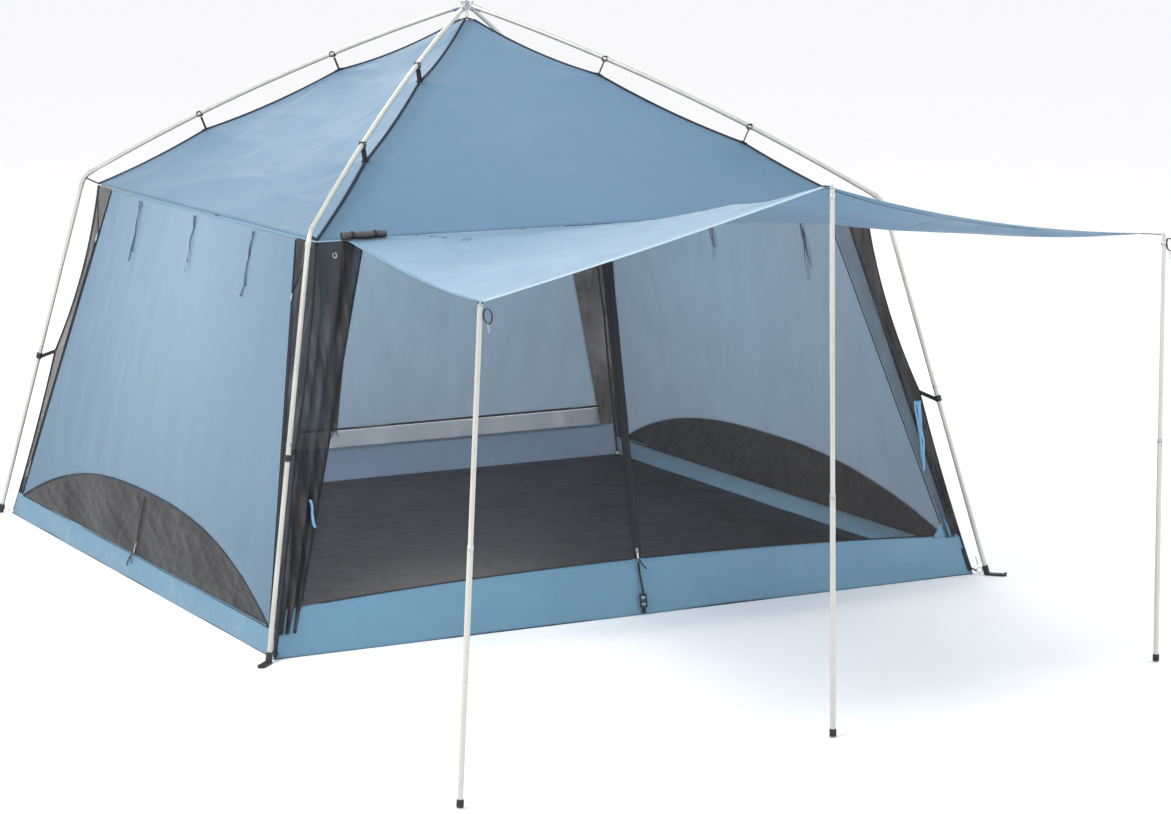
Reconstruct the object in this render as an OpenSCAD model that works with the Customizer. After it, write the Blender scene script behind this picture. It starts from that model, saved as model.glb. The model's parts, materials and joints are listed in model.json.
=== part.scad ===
// Screen house: a square pyramid-roofed shelter hung inside a bent steel frame, with a raised
// front awning on three telescoping poles. Origin in the middle of the floor, +Z up, the
// awning side faces -Y. Every side panel is drawn as the front side and turned into place.

/* [Frame] */
// Distance of each leg foot from the two centre lines
foot_half = 1830; // [1700:10:1950]
// Distance of each roof bend from the two centre lines
elbow_half = 1456; // [1350:2:1500]
// Height of the corner where a roof pole's line meets a leg's line
elbow_z = 1765; // [1700:5:1850]
// Height of the four roof poles' meeting point
hub_z = 2652; // [2560:4:2760]
// Rise of each roof pole above a straight line
pole_bow = 55; // [30:5:70]
// Outside diameter of the frame tubes
tube_d = 22; // [19:1:25]
// Wall thickness of the frame tubes
tube_wall = 1.2; // [1:0.1:1.6]
// Centreline radius of the bend at the top of each leg
bend_r = 110; // [90:5:140]

/* [Canopy] */
// Height of the fabric peak
peak_z = 2575; // [2500:5:2590]
// Distance of the eave corners from the centre lines
eave_half = 1399; // [1350:1:1410]
// Height of the eave
eave_z = 1725; // [1690:5:1735]
// Distance of the fabric's bottom corners from the centre lines
hem_half = 1780; // [1700:5:1790]
// Thickness of every fabric panel
cloth_t = 2; // [2:0.5:4]
// Reach of the clip straps below the roof poles
strap_drop = 86; // [70:2:100]

/* [Walls] */
// Height of the skirt under the front doors, along the slope
front_skirt = 215; // [180:5:240]
// Height of the skirt under the back wall, along the slope
back_skirt = 190; // [150:5:220]
// Height of the skirt under the side walls, along the slope
side_skirt = 112; // [90:2:130]
// Rise of the arched vents above the side skirts
vent_rise = 305; // [250:5:420]
// Width of the corner mesh strips at the top
strip_top = 215; // [170:5:280]
// Width of the corner mesh strips at the bottom
strip_foot = 70; // [50:5:100]

/* [Awning] */
// Places of the awning pole feet: left, middle and right, and their pivot heights
pole_left = [-1942, -4140, 1815];
pole_mid = [-378, -3950, 2135];
pole_right = [1472, -3570, 1815];
// Outside diameter of the lower, outer pole sections
lower_d = 22; // [20:1:25]
// Outside diameter of the upper, inner pole sections
upper_d = 19; // [16:0.5:19]
// Length of the lower pole sections
lower_len = 960; // [900:10:1000]

/* [Hidden] */
CORNERS = ["front_right", "back_right", "back_left", "front_left"];
SIDES = ["front", "right", "back", "left"];

round_fn = 48;
gap = 2;
fit = 0.35;
bore_d = tube_d - 2 * tube_wall;

// Frame lines, in the upright plane through a corner: r outwards along the diagonal, z up
diag = sqrt(2);
elbow_r = elbow_half * diag;
foot_r = foot_half * diag;
chord = norm([elbow_r, hub_z - elbow_z]);
chord_slope = atan2(hub_z - elbow_z, elbow_r);
arc_r = chord * chord / (8 * pole_bow) + pole_bow / 2;
arc_half = asin(chord / 2 / arc_r);
arc_mid = 90 - chord_slope;
arc_centre = [elbow_r / 2 - (arc_r - pole_bow) * sin(chord_slope),
    (hub_z + elbow_z) / 2 - (arc_r - pole_bow) * cos(chord_slope)];
lower_slope = chord_slope + arc_half;
leg_lean = atan2(foot_r - elbow_r, elbow_z);
leg_len = norm([foot_r - elbow_r, elbow_z]);
bend_turn = 90 - leg_lean - lower_slope;
bend_leg = bend_r * tan(bend_turn / 2);
stub_len = 70;
spigot_len = 45;
spigot_d = bore_d - 3;
hub_socket = 75;
socket_start = 24;
leg_split = leg_len / 2 + 20;
foot_h = 46;

// A fraction q of the roof pole, counted from the hub, as an angle about the arc's centre
function pole_angle(q) = arc_mid + arc_half - 2 * arc_half * q;
function pole_point(q, drop = 0) = arc_centre
    + (arc_r - drop) * [cos(pole_angle(q)), sin(pole_angle(q))];

// Ridges of the canopy, held up by the clip straps: [distance from the centre line, height]
clip_at = [0.33, 0.68];
peak_half = 26;
ridge_knots = [[peak_half, peak_z],
    [pole_point(clip_at[0], strap_drop)[0] / diag, pole_point(clip_at[0], strap_drop)[1]],
    [pole_point(clip_at[1], strap_drop)[0] / diag, pole_point(clip_at[1], strap_drop)[1]],
    [eave_half, eave_z]];
ridge_sag = [25, 18, 13];
ridge_steps = 5;
belly = 16;
function ridge_point(k, f) = (1 - f) * ridge_knots[k] + f * ridge_knots[k + 1]
    - [0, 4 * ridge_sag[k] * f * (1 - f)];
ridge = concat([for (k = [0:2], j = [0:ridge_steps - 1]) ridge_point(k, j / ridge_steps)],
    [[eave_half, eave_z]]);

// Side walls, in their own plane: u along the ground, v up the slope, from the middle of the hem
wall_lean = atan2(hem_half - eave_half, eave_z);
wall_v = norm([hem_half - eave_half, eave_z]);
function half_at(v) = hem_half - (hem_half - eave_half) * v / wall_v;
function strip_at(v) = strip_foot + (strip_top - strip_foot) * v / wall_v;
function inner_at(v) = half_at(v) - strip_at(v);
wall_top = wall_v - 6;
vent_half = inner_at(side_skirt) - 20;
vent_power = 2.5;
vent_steps = 36;
function vent_v(u) = side_skirt + gap + vent_rise * (1 - pow(abs(u) / vent_half, vent_power));
back_strip = 105;
zip_half = 22;

// Awning: its hinge runs along the front eave
hinge_y = -eave_half - 6;
hinge_z = eave_z - 4;
awning_left = -1262;
awning_right = 1310;
awning_sag = 55;
awning_rows = 10;
awning_cols = 16;
pivot_reach = [38, 34, 82];
upper_overlap = 80;
pole_cap = 8;
tip_h = 30;
AWNING_POLES = [pole_left, pole_mid, pole_right];
pole_lean = [3, -0.8, -0.6];
mid_col = awning_cols / 2;

module at_corner(i) {
    rotate([0, 0, -45 + 90 * i]) children();
}

module at_side(i) {
    rotate([0, 0, 90 * i]) translate([0, -hem_half, 0]) rotate([90 - wall_lean, 0, 0]) children();
}

module tube(len, d, bore) {
    linear_extrude(len) difference() {
        circle(d = d, $fn = round_fn);
        circle(d = bore, $fn = round_fn);
    }
}

// ---- frame -------------------------------------------------------------------------------

// Places children at fraction q of a roof pole: X points up out of the bow, Y towards the hub
module on_roof_pole(q) {
    translate([arc_centre[0], 0, arc_centre[1]]) rotate([90, 0, 0])
        rotate([0, 0, pole_angle(q)]) translate([arc_r, 0, 0]) children();
}

module roof_pole(i) {
    start = socket_start + 6;
    stop = bend_leg + stub_len;
    sweep = 2 * arc_half * (1 - (start + stop) / chord);
    color("gainsboro") at_corner(i) translate([arc_centre[0], 0, arc_centre[1]])
        rotate([90, 0, 0]) rotate([0, 0, pole_angle(1 - stop / chord)])
        rotate_extrude(angle = sweep, $fn = 900) translate([arc_r, 0]) difference() {
            circle(d = tube_d, $fn = round_fn);
            circle(d = bore_d, $fn = round_fn);
        }
}

// Four tube sockets welded round a flat disc, with a bolt through the middle
module hub() {
    socket_d = tube_d + 6;
    tilt = chord_slope - arc_half;
    color("silver") translate([0, 0, hub_z]) difference() {
        union() {
            translate([0, 0, -20]) cylinder(h = 40, d = 62, $fn = round_fn);
            translate([0, 0, -30]) cylinder(h = 60, d = 14, $fn = round_fn);
            for (i = [0:3]) at_corner(i) rotate([0, 90 + tilt, 0])
                cylinder(h = hub_socket, d = socket_d, $fn = round_fn);
        }
        for (i = [0:3]) at_corner(i) rotate([0, 90 + tilt, 0]) translate([0, 0, socket_start])
            cylinder(h = hub_socket, d = tube_d + 2 * fit, $fn = round_fn);
    }
}

// Ring under the hub that the fabric's peak hangs from
module peak_ring() {
    ring_r = 17;
    wire_r = 2.5;
    color("silver") translate([0, 0, hub_z - 30 - ring_r - wire_r - 1]) rotate([90, 0, 45])
        rotate_extrude($fn = round_fn) translate([ring_r, 0]) circle(r = wire_r, $fn = 24);
}

// Sleeve over a joint between two tube lengths
module collar() {
    collar_len = 22;
    translate([0, 0, -collar_len / 2]) tube(collar_len, tube_d + 4, tube_d - 1);
}

// Bent top section of a leg: a stub in line with the roof pole, the bend, and the upper leg
module leg_upper(i) {
    slit = 0.3;
    color("gainsboro") at_corner(i) translate([elbow_r, 0, elbow_z]) {
        rotate([0, -90 + lower_slope, 0]) translate([0, 0, bend_leg + slit]) {
            collar();
            tube(stub_len - slit, tube_d, bore_d);
            translate([0, 0, stub_len - 15]) tube(spigot_len, spigot_d, bore_d - 5);
        }
        rotate([0, lower_slope, 0]) translate([-bend_leg, 0, -bend_r]) rotate([90, 0, 0])
            rotate([0, 0, 90 - bend_turn]) rotate_extrude(angle = bend_turn, $fn = 240)
            translate([bend_r, 0]) difference() {
                circle(d = tube_d, $fn = round_fn);
                circle(d = bore_d, $fn = round_fn);
            }
        rotate([0, 180 - leg_lean, 0]) translate([0, 0, bend_leg + slit]) {
            collar();
            tube(leg_split - bend_leg - slit, tube_d, bore_d);
        }
    }
}

// Straight lower section of a leg, with the swaged end that fits up inside the upper section
module leg_lower(i) {
    color("gainsboro") at_corner(i) translate([elbow_r, 0, elbow_z]) rotate([0, 180 - leg_lean, 0]) {
        translate([0, 0, leg_split + 0.5]) tube(leg_len - leg_split - 13, tube_d, bore_d);
        translate([0, 0, leg_split - spigot_len]) tube(60, spigot_d, bore_d - 5);
    }
}

// Plastic claw on the foot of a leg: a socket, and a toe on the ground with a stake hole
module foot(i) {
    toe_len = 92;
    toe_w = 34;
    toe_t = 9;
    socket_d = tube_d + 7;
    color([0.09, 0.09, 0.1]) at_corner(i) translate([foot_r, 0, 0]) difference() {
        union() {
            intersection() {
                rotate([0, -leg_lean, 0]) translate([0, 0, -20])
                    cylinder(h = foot_h + 20, d = socket_d, $fn = round_fn);
                translate([-80, -50, 0]) cube([160, 100, 100]);
            }
            linear_extrude(toe_t) {
                translate([0, -toe_w / 2]) square([toe_len - toe_w / 2, toe_w]);
                translate([toe_len - toe_w / 2, 0]) circle(d = toe_w, $fn = round_fn);
            }
            translate([toe_len - 10, -8, toe_t - 1]) cube([10, 16, 8]);
        }
        rotate([0, -leg_lean, 0]) translate([0, 0, 12])
            cylinder(h = foot_h + 20, d = tube_d + 2 * fit, $fn = round_fn);
        translate([toe_len - 28, 0, -1]) cylinder(h = toe_t + 2, d = 9, $fn = round_fn);
    }
}

// Ring and pin that hook each fabric corner to its foot
module foot_rings() {
    ring_r = 13;
    color("silver") for (i = [0:3]) at_corner(i) translate([foot_r - 37, 0, 20]) {
        rotate([90, 0, 0]) rotate_extrude($fn = round_fn) translate([ring_r, 0])
            circle(r = 1.8, $fn = 16);
        translate([-ring_r + 4, 0, 24]) rotate([0, -leg_lean, 0]) cylinder(h = 42, d = 4, $fn = 24);
    }
}

// Webbing at the eave corners and from the hem corners to the rings
module corner_straps() {
    web_w = 25;
    web_t = 2;
    eave_len = 46;
    foot_len = 13;
    color([0.08, 0.08, 0.1]) for (i = [0:3]) at_corner(i) {
        translate([eave_half * diag + 10, -web_w / 2, eave_z + 8]) rotate([0, -22, 0])
            cube([eave_len, web_w, web_t]);
        translate([hem_half * diag + 4, -web_w / 2, 12]) cube([foot_len, web_w, web_t]);
    }
}

// Clips round the roof poles and legs, each with its strap down to the canopy
module pole_clips() {
    clip_w = 26;
    clip_d = tube_d + 8;
    web_t = 2;
    leg_v = leg_len / 2;
    color([0.1, 0.1, 0.12]) for (i = [0:3]) at_corner(i) {
        for (q = clip_at) on_roof_pole(q) {
            rotate([90, 0, 0]) translate([0, 0, -clip_w / 2]) tube(clip_w, clip_d, tube_d + 2 * fit);
            translate([-strap_drop + 8, -clip_w / 2, -web_t / 2])
                cube([strap_drop - 8 - clip_d / 2, clip_w, web_t]);
        }
        translate([elbow_r, 0, elbow_z]) rotate([0, 180 - leg_lean, 0]) translate([0, 0, leg_v]) {
            translate([0, 0, -clip_w / 2]) tube(clip_w, clip_d, tube_d + 2 * fit);
            translate([clip_d / 2, -web_t / 2, -clip_w / 2]) cube([44, web_t, clip_w]);
        }
    }
}

// ---- canopy ------------------------------------------------------------------------------

// A thin closed slab over a grid of points, rows by cols, given for its lower side
module grid_slab(rows, cols, grid, t) {
    n = rows * cols;
    pts = concat(grid, [for (p = grid) p + [0, 0, t]]);
    quads_low = [for (r = [0:rows - 2], c = [0:cols - 2])
        [r * cols + c, r * cols + c + 1, (r + 1) * cols + c + 1, (r + 1) * cols + c]];
    faces = concat(
        [for (q = quads_low) each [[q[0], q[1], q[2]], [q[0], q[2], q[3]]]],
        [for (q = quads_low) each [[n + q[2], n + q[1], n + q[0]], [n + q[3], n + q[2], n + q[0]]]],
        [for (c = [0:cols - 2]) each [[c, n + c, n + c + 1], [c, n + c + 1, c + 1]]],
        [for (c = [0:cols - 2]) let (a = (rows - 1) * cols + c)
            each [[a + 1, n + a + 1, n + a], [a + 1, n + a, a]]],
        [for (r = [0:rows - 2]) let (a = r * cols) each [[a + cols, n + a + cols, n + a],
            [a + cols, n + a, a]]],
        [for (r = [0:rows - 2]) let (a = r * cols + cols - 1)
            each [[a, n + a, n + a + cols], [a, n + a + cols, a + cols]]]);
    polyhedron(points = pts, faces = faces, convexity = 4);
}

roof_cols = 9;
roof_rows = len(ridge);

// One roof panel: its two ridges follow the straps, and the middle sinks a little
module roof(i) {
    grid = [for (p = ridge, c = [0:roof_cols - 1]) let (s = 2 * c / (roof_cols - 1) - 1,
        along = (p[0] - peak_half) / (eave_half - peak_half))
        [s * (p[0] - gap), -p[0], p[1] - belly * (1 - s * s) * 4 * along * (1 - along)]];
    color([0.55, 0.69, 0.82]) rotate([0, 0, 90 * i]) grid_slab(roof_rows, roof_cols, grid, cloth_t);
}

module panel(points, t = cloth_t) {
    linear_extrude(t) polygon(points);
}

function band(v0, v1, inset0, inset1) = [[-half_at(v0) + inset0, v0], [half_at(v0) - inset0, v0],
    [half_at(v1) - inset1, v1], [-half_at(v1) + inset1, v1]];

function vent_arc(lift) = [for (k = [0:vent_steps])
    let (u = vent_half * (1 - 2 * k / vent_steps)) [u, vent_v(u) + lift]];

// Plain side wall above an arched vent
module side_wall(i) {
    v0 = side_skirt + gap;
    color([0.55, 0.7, 0.82]) at_side(i) panel(concat(
        [[-inner_at(v0) + gap, v0], [-vent_half - gap, v0]],
        [for (k = [vent_steps:-1:0]) let (p = vent_arc(gap)[k]) p],
        [[vent_half + gap, v0], [inner_at(v0) - gap, v0],
        [inner_at(wall_top) - gap, wall_top], [-inner_at(wall_top) + gap, wall_top]]));
}

module vent(i) {
    color([0.34, 0.34, 0.35]) at_side(i) {
        panel(vent_arc(0));
        translate([-5, side_skirt + 10, cloth_t]) cube([10, vent_rise - 24, 1]);
    }
}

module skirt(i, height) {
    color([0.45, 0.63, 0.76]) at_side(i) panel(band(0, height, gap, gap));
}

// Mesh strips on both sides of a corner
module corner_mesh(i, height_a, height_b) {
    color([0.25, 0.26, 0.27]) {
        at_side(i) panel([[inner_at(height_a), height_a + gap],
            [half_at(height_a) - gap, height_a + gap],
            [half_at(wall_top) - gap, wall_top], [inner_at(wall_top), wall_top]]);
        at_side((i + 1) % 4) panel([[-half_at(height_b) + gap, height_b + gap],
            [-inner_at(height_b), height_b + gap],
            [-inner_at(wall_top), wall_top], [-half_at(wall_top) + gap, wall_top]]);
    }
}

module wall_back() {
    v0 = back_skirt + back_strip + 2 * gap;
    color([0.5, 0.65, 0.77]) at_side(2) difference() {
        panel(band(v0, wall_top, strip_at(v0) + gap, strip_at(wall_top) + gap));
        translate([-zip_half, v0 - 1, -1]) cube([2 * zip_half, wall_v, cloth_t + 2]);
    }
}

module back_mesh() {
    v0 = back_skirt + gap;
    v1 = v0 + back_strip;
    color([0.3, 0.32, 0.34]) at_side(2) panel(band(v0, v1, strip_at(v0) + gap, strip_at(v1) + gap));
}

module back_zip() {
    v0 = back_skirt + back_strip + 2 * gap;
    color([0.15, 0.15, 0.17]) at_side(2) translate([-zip_half + gap, v0, 0])
        cube([2 * (zip_half - gap), wall_top - v0, cloth_t]);
}

module groundsheet() {
    floor_half = hem_half - 8;
    color([0.26, 0.26, 0.27]) linear_extrude(cloth_t)
        square([2 * floor_half, 2 * floor_half], center = true);
}

// ---- front doors -------------------------------------------------------------------------

door_v0 = front_skirt + 8;
door_v1 = wall_top - 4;
front_zip_half = 20;

// One mesh door leaf; side is -1 for the left leaf and 1 for the right one
module door(side) {
    edge = side < 0 ? front_zip_half + gap : front_zip_half + 2 * gap;
    color([0.2, 0.21, 0.22]) at_side(0) panel([for (p = [[edge, door_v0],
        [inner_at(door_v0) - 5, door_v0], [inner_at(door_v1) - 5, door_v1], [edge, door_v1]])
        [side * p[0], p[1]]]);
}

// Zip tape sewn to the left leaf's free edge
module front_zip() {
    color([0.1, 0.1, 0.12]) at_side(0) translate([-front_zip_half, door_v0, 0])
        cube([2 * front_zip_half, door_v1 - door_v0, cloth_t]);
}

// Zip slider with its pull, lying on a zip tape
module slider(v, lift, out) {
    body_l = 14;
    pull_l = 34;
    z0 = out > 0 ? lift : -lift - 4;
    color("silver") translate([0, v, z0]) {
        translate([-5, 0, 0]) cube([10, body_l, 4]);
        translate([-3.5, -pull_l, 1]) cube([7, pull_l + 1, 2]);
    }
}

module front_zip_slider() {
    at_side(0) slider(door_v0 + 60, cloth_t + 0.5, 1);
}

module back_zip_slider() {
    at_side(2) slider(back_skirt + back_strip + 60, 0.5, -1);
}

module vent_slider(i) {
    at_side(i) slider(side_skirt + 48, cloth_t + 1.5, 1);
}

// ---- small fabric parts ------------------------------------------------------------------

// Flat ties, hung from the eave on the outside of the left wall and inside the back and right
module tie_tapes() {
    tie_w = 12;
    tie_t = 1.5;
    tie_len = 260;
    color([0.2, 0.32, 0.45]) {
        at_side(3) for (u = [-740, 0, 720], s = [-9, 9]) translate([u + s, wall_top - 20, cloth_t + 1])
            rotate([0, 0, 180]) translate([-tie_w / 2, 0, 0]) cube([tie_w, tie_len + 2 * s, tie_t]);
        for (at = [[1, 150], [1, -780], [2, -1040], [2, -420], [2, 750]], s = [-9, 9])
            at_side(at[0]) translate([at[1] + s, wall_top - 20, -1 - tie_t]) rotate([0, 0, 180])
            translate([-tie_w / 2, 0, 0]) cube([tie_w, tie_len + 130 + 3 * s, tie_t]);
    }
}

// Small rolled flap tied up at the front eave by the left corner
module rolled_flap() {
    roll_r = 19;
    roll_len = 210;
    color([0.28, 0.28, 0.3]) translate([-1300, -eave_half - 42, eave_z + 21]) rotate([0, 90, 0])
        cylinder(h = roll_len, r = roll_r, $fn = 32);
}

// Ladder buckle and strap that close the doors down onto the front skirt
module sill_buckle() {
    strap_w = 10;
    strap_t = 2;
    body = [34, 62, 11];
    rise = cloth_t + 0.5;
    color([0.07, 0.07, 0.08]) at_side(0) {
        translate([-strap_w / 2, 92, rise]) cube([strap_w, front_skirt - 96, strap_t]);
        difference() {
            translate([-body[0] / 2, 30, rise]) cube(body);
            for (v = [42, 62]) translate([-body[0] / 2 + 6, v, rise - 1])
                cube([body[0] - 12, 12, body[2] + 2]);
        }
        translate([-strap_w, 6, rise]) cube([2 * strap_w, 23, strap_t]);
    }
}

// ---- awning ------------------------------------------------------------------------------

// Where the fabric's corner stops short of each pole's pivot, towards the house
function corner_of(k) = let (p = AWNING_POLES[k], d = [k == 2 ? -0.9 : k == 0 ? 0.5 : 0, 1, 0])
    p + pivot_reach[k] * d / norm(d);

// Outer edge at fraction a from left to right; the right half sags and draws in
function outer_edge(a) = a <= 0.5
    ? let (f = 2 * a) (1 - f) * corner_of(0) + f * corner_of(1) + [0, 20, -14] * 4 * f * (1 - f)
    : let (f = 2 * a - 1) (1 - f) * corner_of(1) + f * corner_of(2) + [0, 55, -46] * 4 * f * (1 - f);

function eave_edge(a) = [awning_left + (awning_right - awning_left) * a, hinge_y, hinge_z];

function awning_point(a, b) = (1 - b) * eave_edge(a) + b * outer_edge(a)
    - [0, 0, awning_sag * 4 * b * (1 - b) * (0.45 + 0.55 * pow(abs(2 * a - 1), 2))]
    + [(a < 0.5 ? 1 : -1) * 60 * 4 * b * (1 - b) * pow(abs(2 * a - 1), 3), 0, 0];

module awning() {
    grid = [for (r = [0:awning_rows], c = [0:awning_cols])
        awning_point(c / awning_cols, 1 - r / awning_rows)];
    color([0.58, 0.7, 0.83]) grid_slab(awning_rows + 1, awning_cols + 1, grid, cloth_t);
}

// Grommet rings on the pole pins, with the webbing that ties them to the fabric's corners
module awning_rings() {
    ring_r = 8;
    wire_r = 1.5;
    web_w = 20;
    for (k = [0:2]) {
        p = AWNING_POLES[k];
        d = corner_of(k) - p;
        color("silver") translate(p) rotate_extrude($fn = round_fn) translate([ring_r, 0])
            circle(r = wire_r, $fn = 16);
        color([0.08, 0.08, 0.1]) translate(p) rotate([0, 0, atan2(d[1], d[0])])
            translate([ring_r + wire_r + 0.5, -web_w / 2, -1])
            cube([norm(d) - ring_r - wire_r - 2, web_w, 2]);
    }
}

// Frame of a leaning pole: origin at its foot, its grommet at height pole_len(k)
module on_pole(k) {
    p = AWNING_POLES[k];
    translate(p) rotate([0, pole_lean[k], 0]) translate([0, 0, -pole_len(k)]) children();
}

function pole_len(k) = AWNING_POLES[k][2] / cos(pole_lean[k])
    - (lower_d / 2 + 1.5) * abs(tan(pole_lean[k]));

// Thin upper section with a cap and a pin through the grommet
module awning_pole_upper(k) {
    z0 = lower_len - upper_overlap;
    top = pole_len(k) - pole_cap;
    color("gainsboro") on_pole(k) {
        translate([0, 0, z0]) tube(top - z0, upper_d, upper_d - 2 * tube_wall);
        translate([0, 0, top]) cylinder(h = 3, d = upper_d, $fn = round_fn);
        translate([0, 0, top + 3]) cylinder(h = 18, d = 6, $fn = 32);
    }
}

// Wide lower section with its rubber tip
module awning_pole_lower(k) {
    bore = upper_d + 2 * fit;
    on_pole(k) {
        color("gainsboro") translate([0, 0, tip_h]) tube(lower_len - tip_h, lower_d, bore);
        color([0.1, 0.1, 0.1]) cylinder(h = tip_h, d = lower_d + 3, $fn = round_fn);
    }
}

hub();
peak_ring();
for (i = [0:3]) roof_pole(i);
for (i = [0:3]) leg_upper(i);
for (i = [0:3]) leg_lower(i);
for (i = [0:3]) foot(i);
foot_rings();
corner_straps();
pole_clips();
for (i = [0:3]) roof(i);
side_wall(3);  // wall_left
side_wall(1);  // wall_right
wall_back();
vent(3);  // vent_left
vent(1);  // vent_right
corner_mesh(0, front_skirt, side_skirt);  // corner_mesh_front_right
corner_mesh(1, side_skirt, back_skirt);  // corner_mesh_back_right
corner_mesh(2, back_skirt, side_skirt);  // corner_mesh_back_left
corner_mesh(3, side_skirt, front_skirt);  // corner_mesh_front_left
back_mesh();
skirt(0, front_skirt);  // skirt_front
skirt(1, side_skirt);  // skirt_right
skirt(2, back_skirt);  // skirt_back
skirt(3, side_skirt);  // skirt_left
groundsheet();
back_zip();
tie_tapes();
rolled_flap();
sill_buckle();
door(-1);  // door_left
door(1);  // door_right
front_zip();
front_zip_slider();
back_zip_slider();
vent_slider(3);  // vent_slider_left
vent_slider(1);  // vent_slider_right
awning();
awning_rings();
POLE_NAMES = ["left", "mid", "right"];
for (k = [0:2]) awning_pole_upper(k);
for (k = [0:2]) awning_pole_lower(k);
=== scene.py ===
import json
import math

import bmesh
import bpy
import numpy as np
from mathutils import Matrix, Vector


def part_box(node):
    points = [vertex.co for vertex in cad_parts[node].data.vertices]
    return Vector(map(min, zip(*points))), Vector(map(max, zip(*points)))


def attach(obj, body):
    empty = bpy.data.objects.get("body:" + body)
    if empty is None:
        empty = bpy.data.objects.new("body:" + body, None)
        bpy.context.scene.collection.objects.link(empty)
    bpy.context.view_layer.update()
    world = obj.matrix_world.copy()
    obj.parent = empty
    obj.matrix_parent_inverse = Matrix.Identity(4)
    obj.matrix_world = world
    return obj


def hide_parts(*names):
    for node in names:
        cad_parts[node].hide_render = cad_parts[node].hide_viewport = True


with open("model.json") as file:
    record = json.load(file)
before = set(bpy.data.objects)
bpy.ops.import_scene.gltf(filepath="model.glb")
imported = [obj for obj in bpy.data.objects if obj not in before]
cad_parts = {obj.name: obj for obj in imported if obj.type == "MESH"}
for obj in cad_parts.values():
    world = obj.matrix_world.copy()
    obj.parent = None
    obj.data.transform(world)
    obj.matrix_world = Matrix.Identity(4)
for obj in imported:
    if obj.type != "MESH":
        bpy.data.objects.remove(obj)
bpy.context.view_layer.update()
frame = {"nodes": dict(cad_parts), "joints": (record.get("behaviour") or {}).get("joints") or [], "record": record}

# ---- driving sizes, in metres, taken from the frame ------------------------------------

GAP = 0.002                                        # clearance that the CAD leaves between sheets
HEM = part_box("skirt_front")[1][0] + GAP            # half the width at the ground
EAVE = -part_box("roof_front")[0][1]                 # half the width at the eaves
EAVE_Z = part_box("roof_front")[0][2]
PEAK_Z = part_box("roof_front")[1][2] - GAP
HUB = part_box("hub")
HUB_Z = (HUB[0][2] + HUB[1][2]) / 2
LEAN = math.atan2(HEM - EAVE, EAVE_Z)
WALL_V = math.hypot(HEM - EAVE, EAVE_Z)            # a wall's height along its slope
WALL_TOP = WALL_V - 0.006
FRONT, RIGHT, BACK, LEFT = range(4)                # sides, anticlockwise from above
SKIRT = (0.215, 0.112, 0.190, 0.112)               # height of each side's skirt
BACK_STRIP = 0.105
STRIP_TOP, STRIP_FOOT = 0.215, 0.070               # width of the corner mesh strips
VENT_RISE, VENT_POWER = 0.305, 2.5
DOOR_V0, DOOR_V1 = SKIRT[FRONT] + 0.008, WALL_TOP - 0.004
CORNER_PULL = (0.006, 0.024)                       # how far a corner edge is drawn in, low and high
LAP = 0.004                                        # overlap of neighbouring sheets at a seam
SHEET_T = 0.0009
TUBE_RADIUS = 0.011
ELBOW_HALF, ELBOW_Z = 1.456, 1.765                 # where the roof poles meet the legs
POLE_BOW, CLIP_DROP = 0.055, 0.086                 # rise of a roof pole, and cloth below its axis
SIDES = ("front", "right", "back", "left")
CORNERS = ("front_right", "back_right", "back_left", "front_left")
POLES = ("left", "mid", "right")


def pivot(joint):
    """Where a joint's axis is, from the record."""
    rows = frame["record"]["behaviour"]["joints"]
    return Vector(next(j["pos_m"] for j in rows if j["name"] == joint))


# ---- camera, light and floor -----------------------------------------------------------

CAMERA_AT = (-6.933, -14.461, 3.389)
CAMERA_TURN = (27.65, 9.6, -0.11)                  # yaw, pitch and roll in degrees
LENS_MM = 101.36
LIGHTS = (                                         # name, place, height aimed at, size, watts
    ("key", (-9.0, -4.0, 11.0), 1.5, 6.0, 1250.0),
    ("fill", (8.0, -9.0, 6.0), 1.0, 8.0, 320.0),
    ("rim", (3.0, 10.0, 7.0), 1.2, 7.0, 500.0))
ROOM_LAMP_AT, ROOM_LAMP_W, ROOM_LAMP_COLOR = (0.0, 0.1, 1.25), 140.0, (1.0, 0.93, 0.86)
FLOOR_HALF = 160.0


def put(name, data):
    """A new object in the scene that holds the given data."""
    obj = bpy.data.objects.new(name, data)
    bpy.context.scene.collection.objects.link(obj)
    return obj


def make_camera():
    data = bpy.data.cameras.new("camera")
    data.sensor_width = 36.0
    data.lens = LENS_MM
    data.clip_end = 400.0
    cam = put("camera", data)
    cam.location = CAMERA_AT
    yaw, pitch, roll = map(math.radians, CAMERA_TURN)
    turn = Matrix.Rotation(-yaw, 4, "Z") @ Matrix.Rotation(math.pi / 2 - pitch, 4, "X")
    cam.rotation_euler = (turn @ Matrix.Rotation(roll, 4, "Z")).to_euler()
    bpy.context.scene.camera = cam


def area_light(name, place, height, size, power):
    """A round soft light aimed at the middle of the object at the given height."""
    data = bpy.data.lights.new(name, "AREA")
    data.shape = "DISK"
    data.size = size
    data.energy = power
    lamp = put(name, data)
    lamp.location = place
    way = Vector((0, 0, height)) - lamp.location
    lamp.rotation_euler = way.to_track_quat("-Z", "Y").to_euler()


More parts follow.
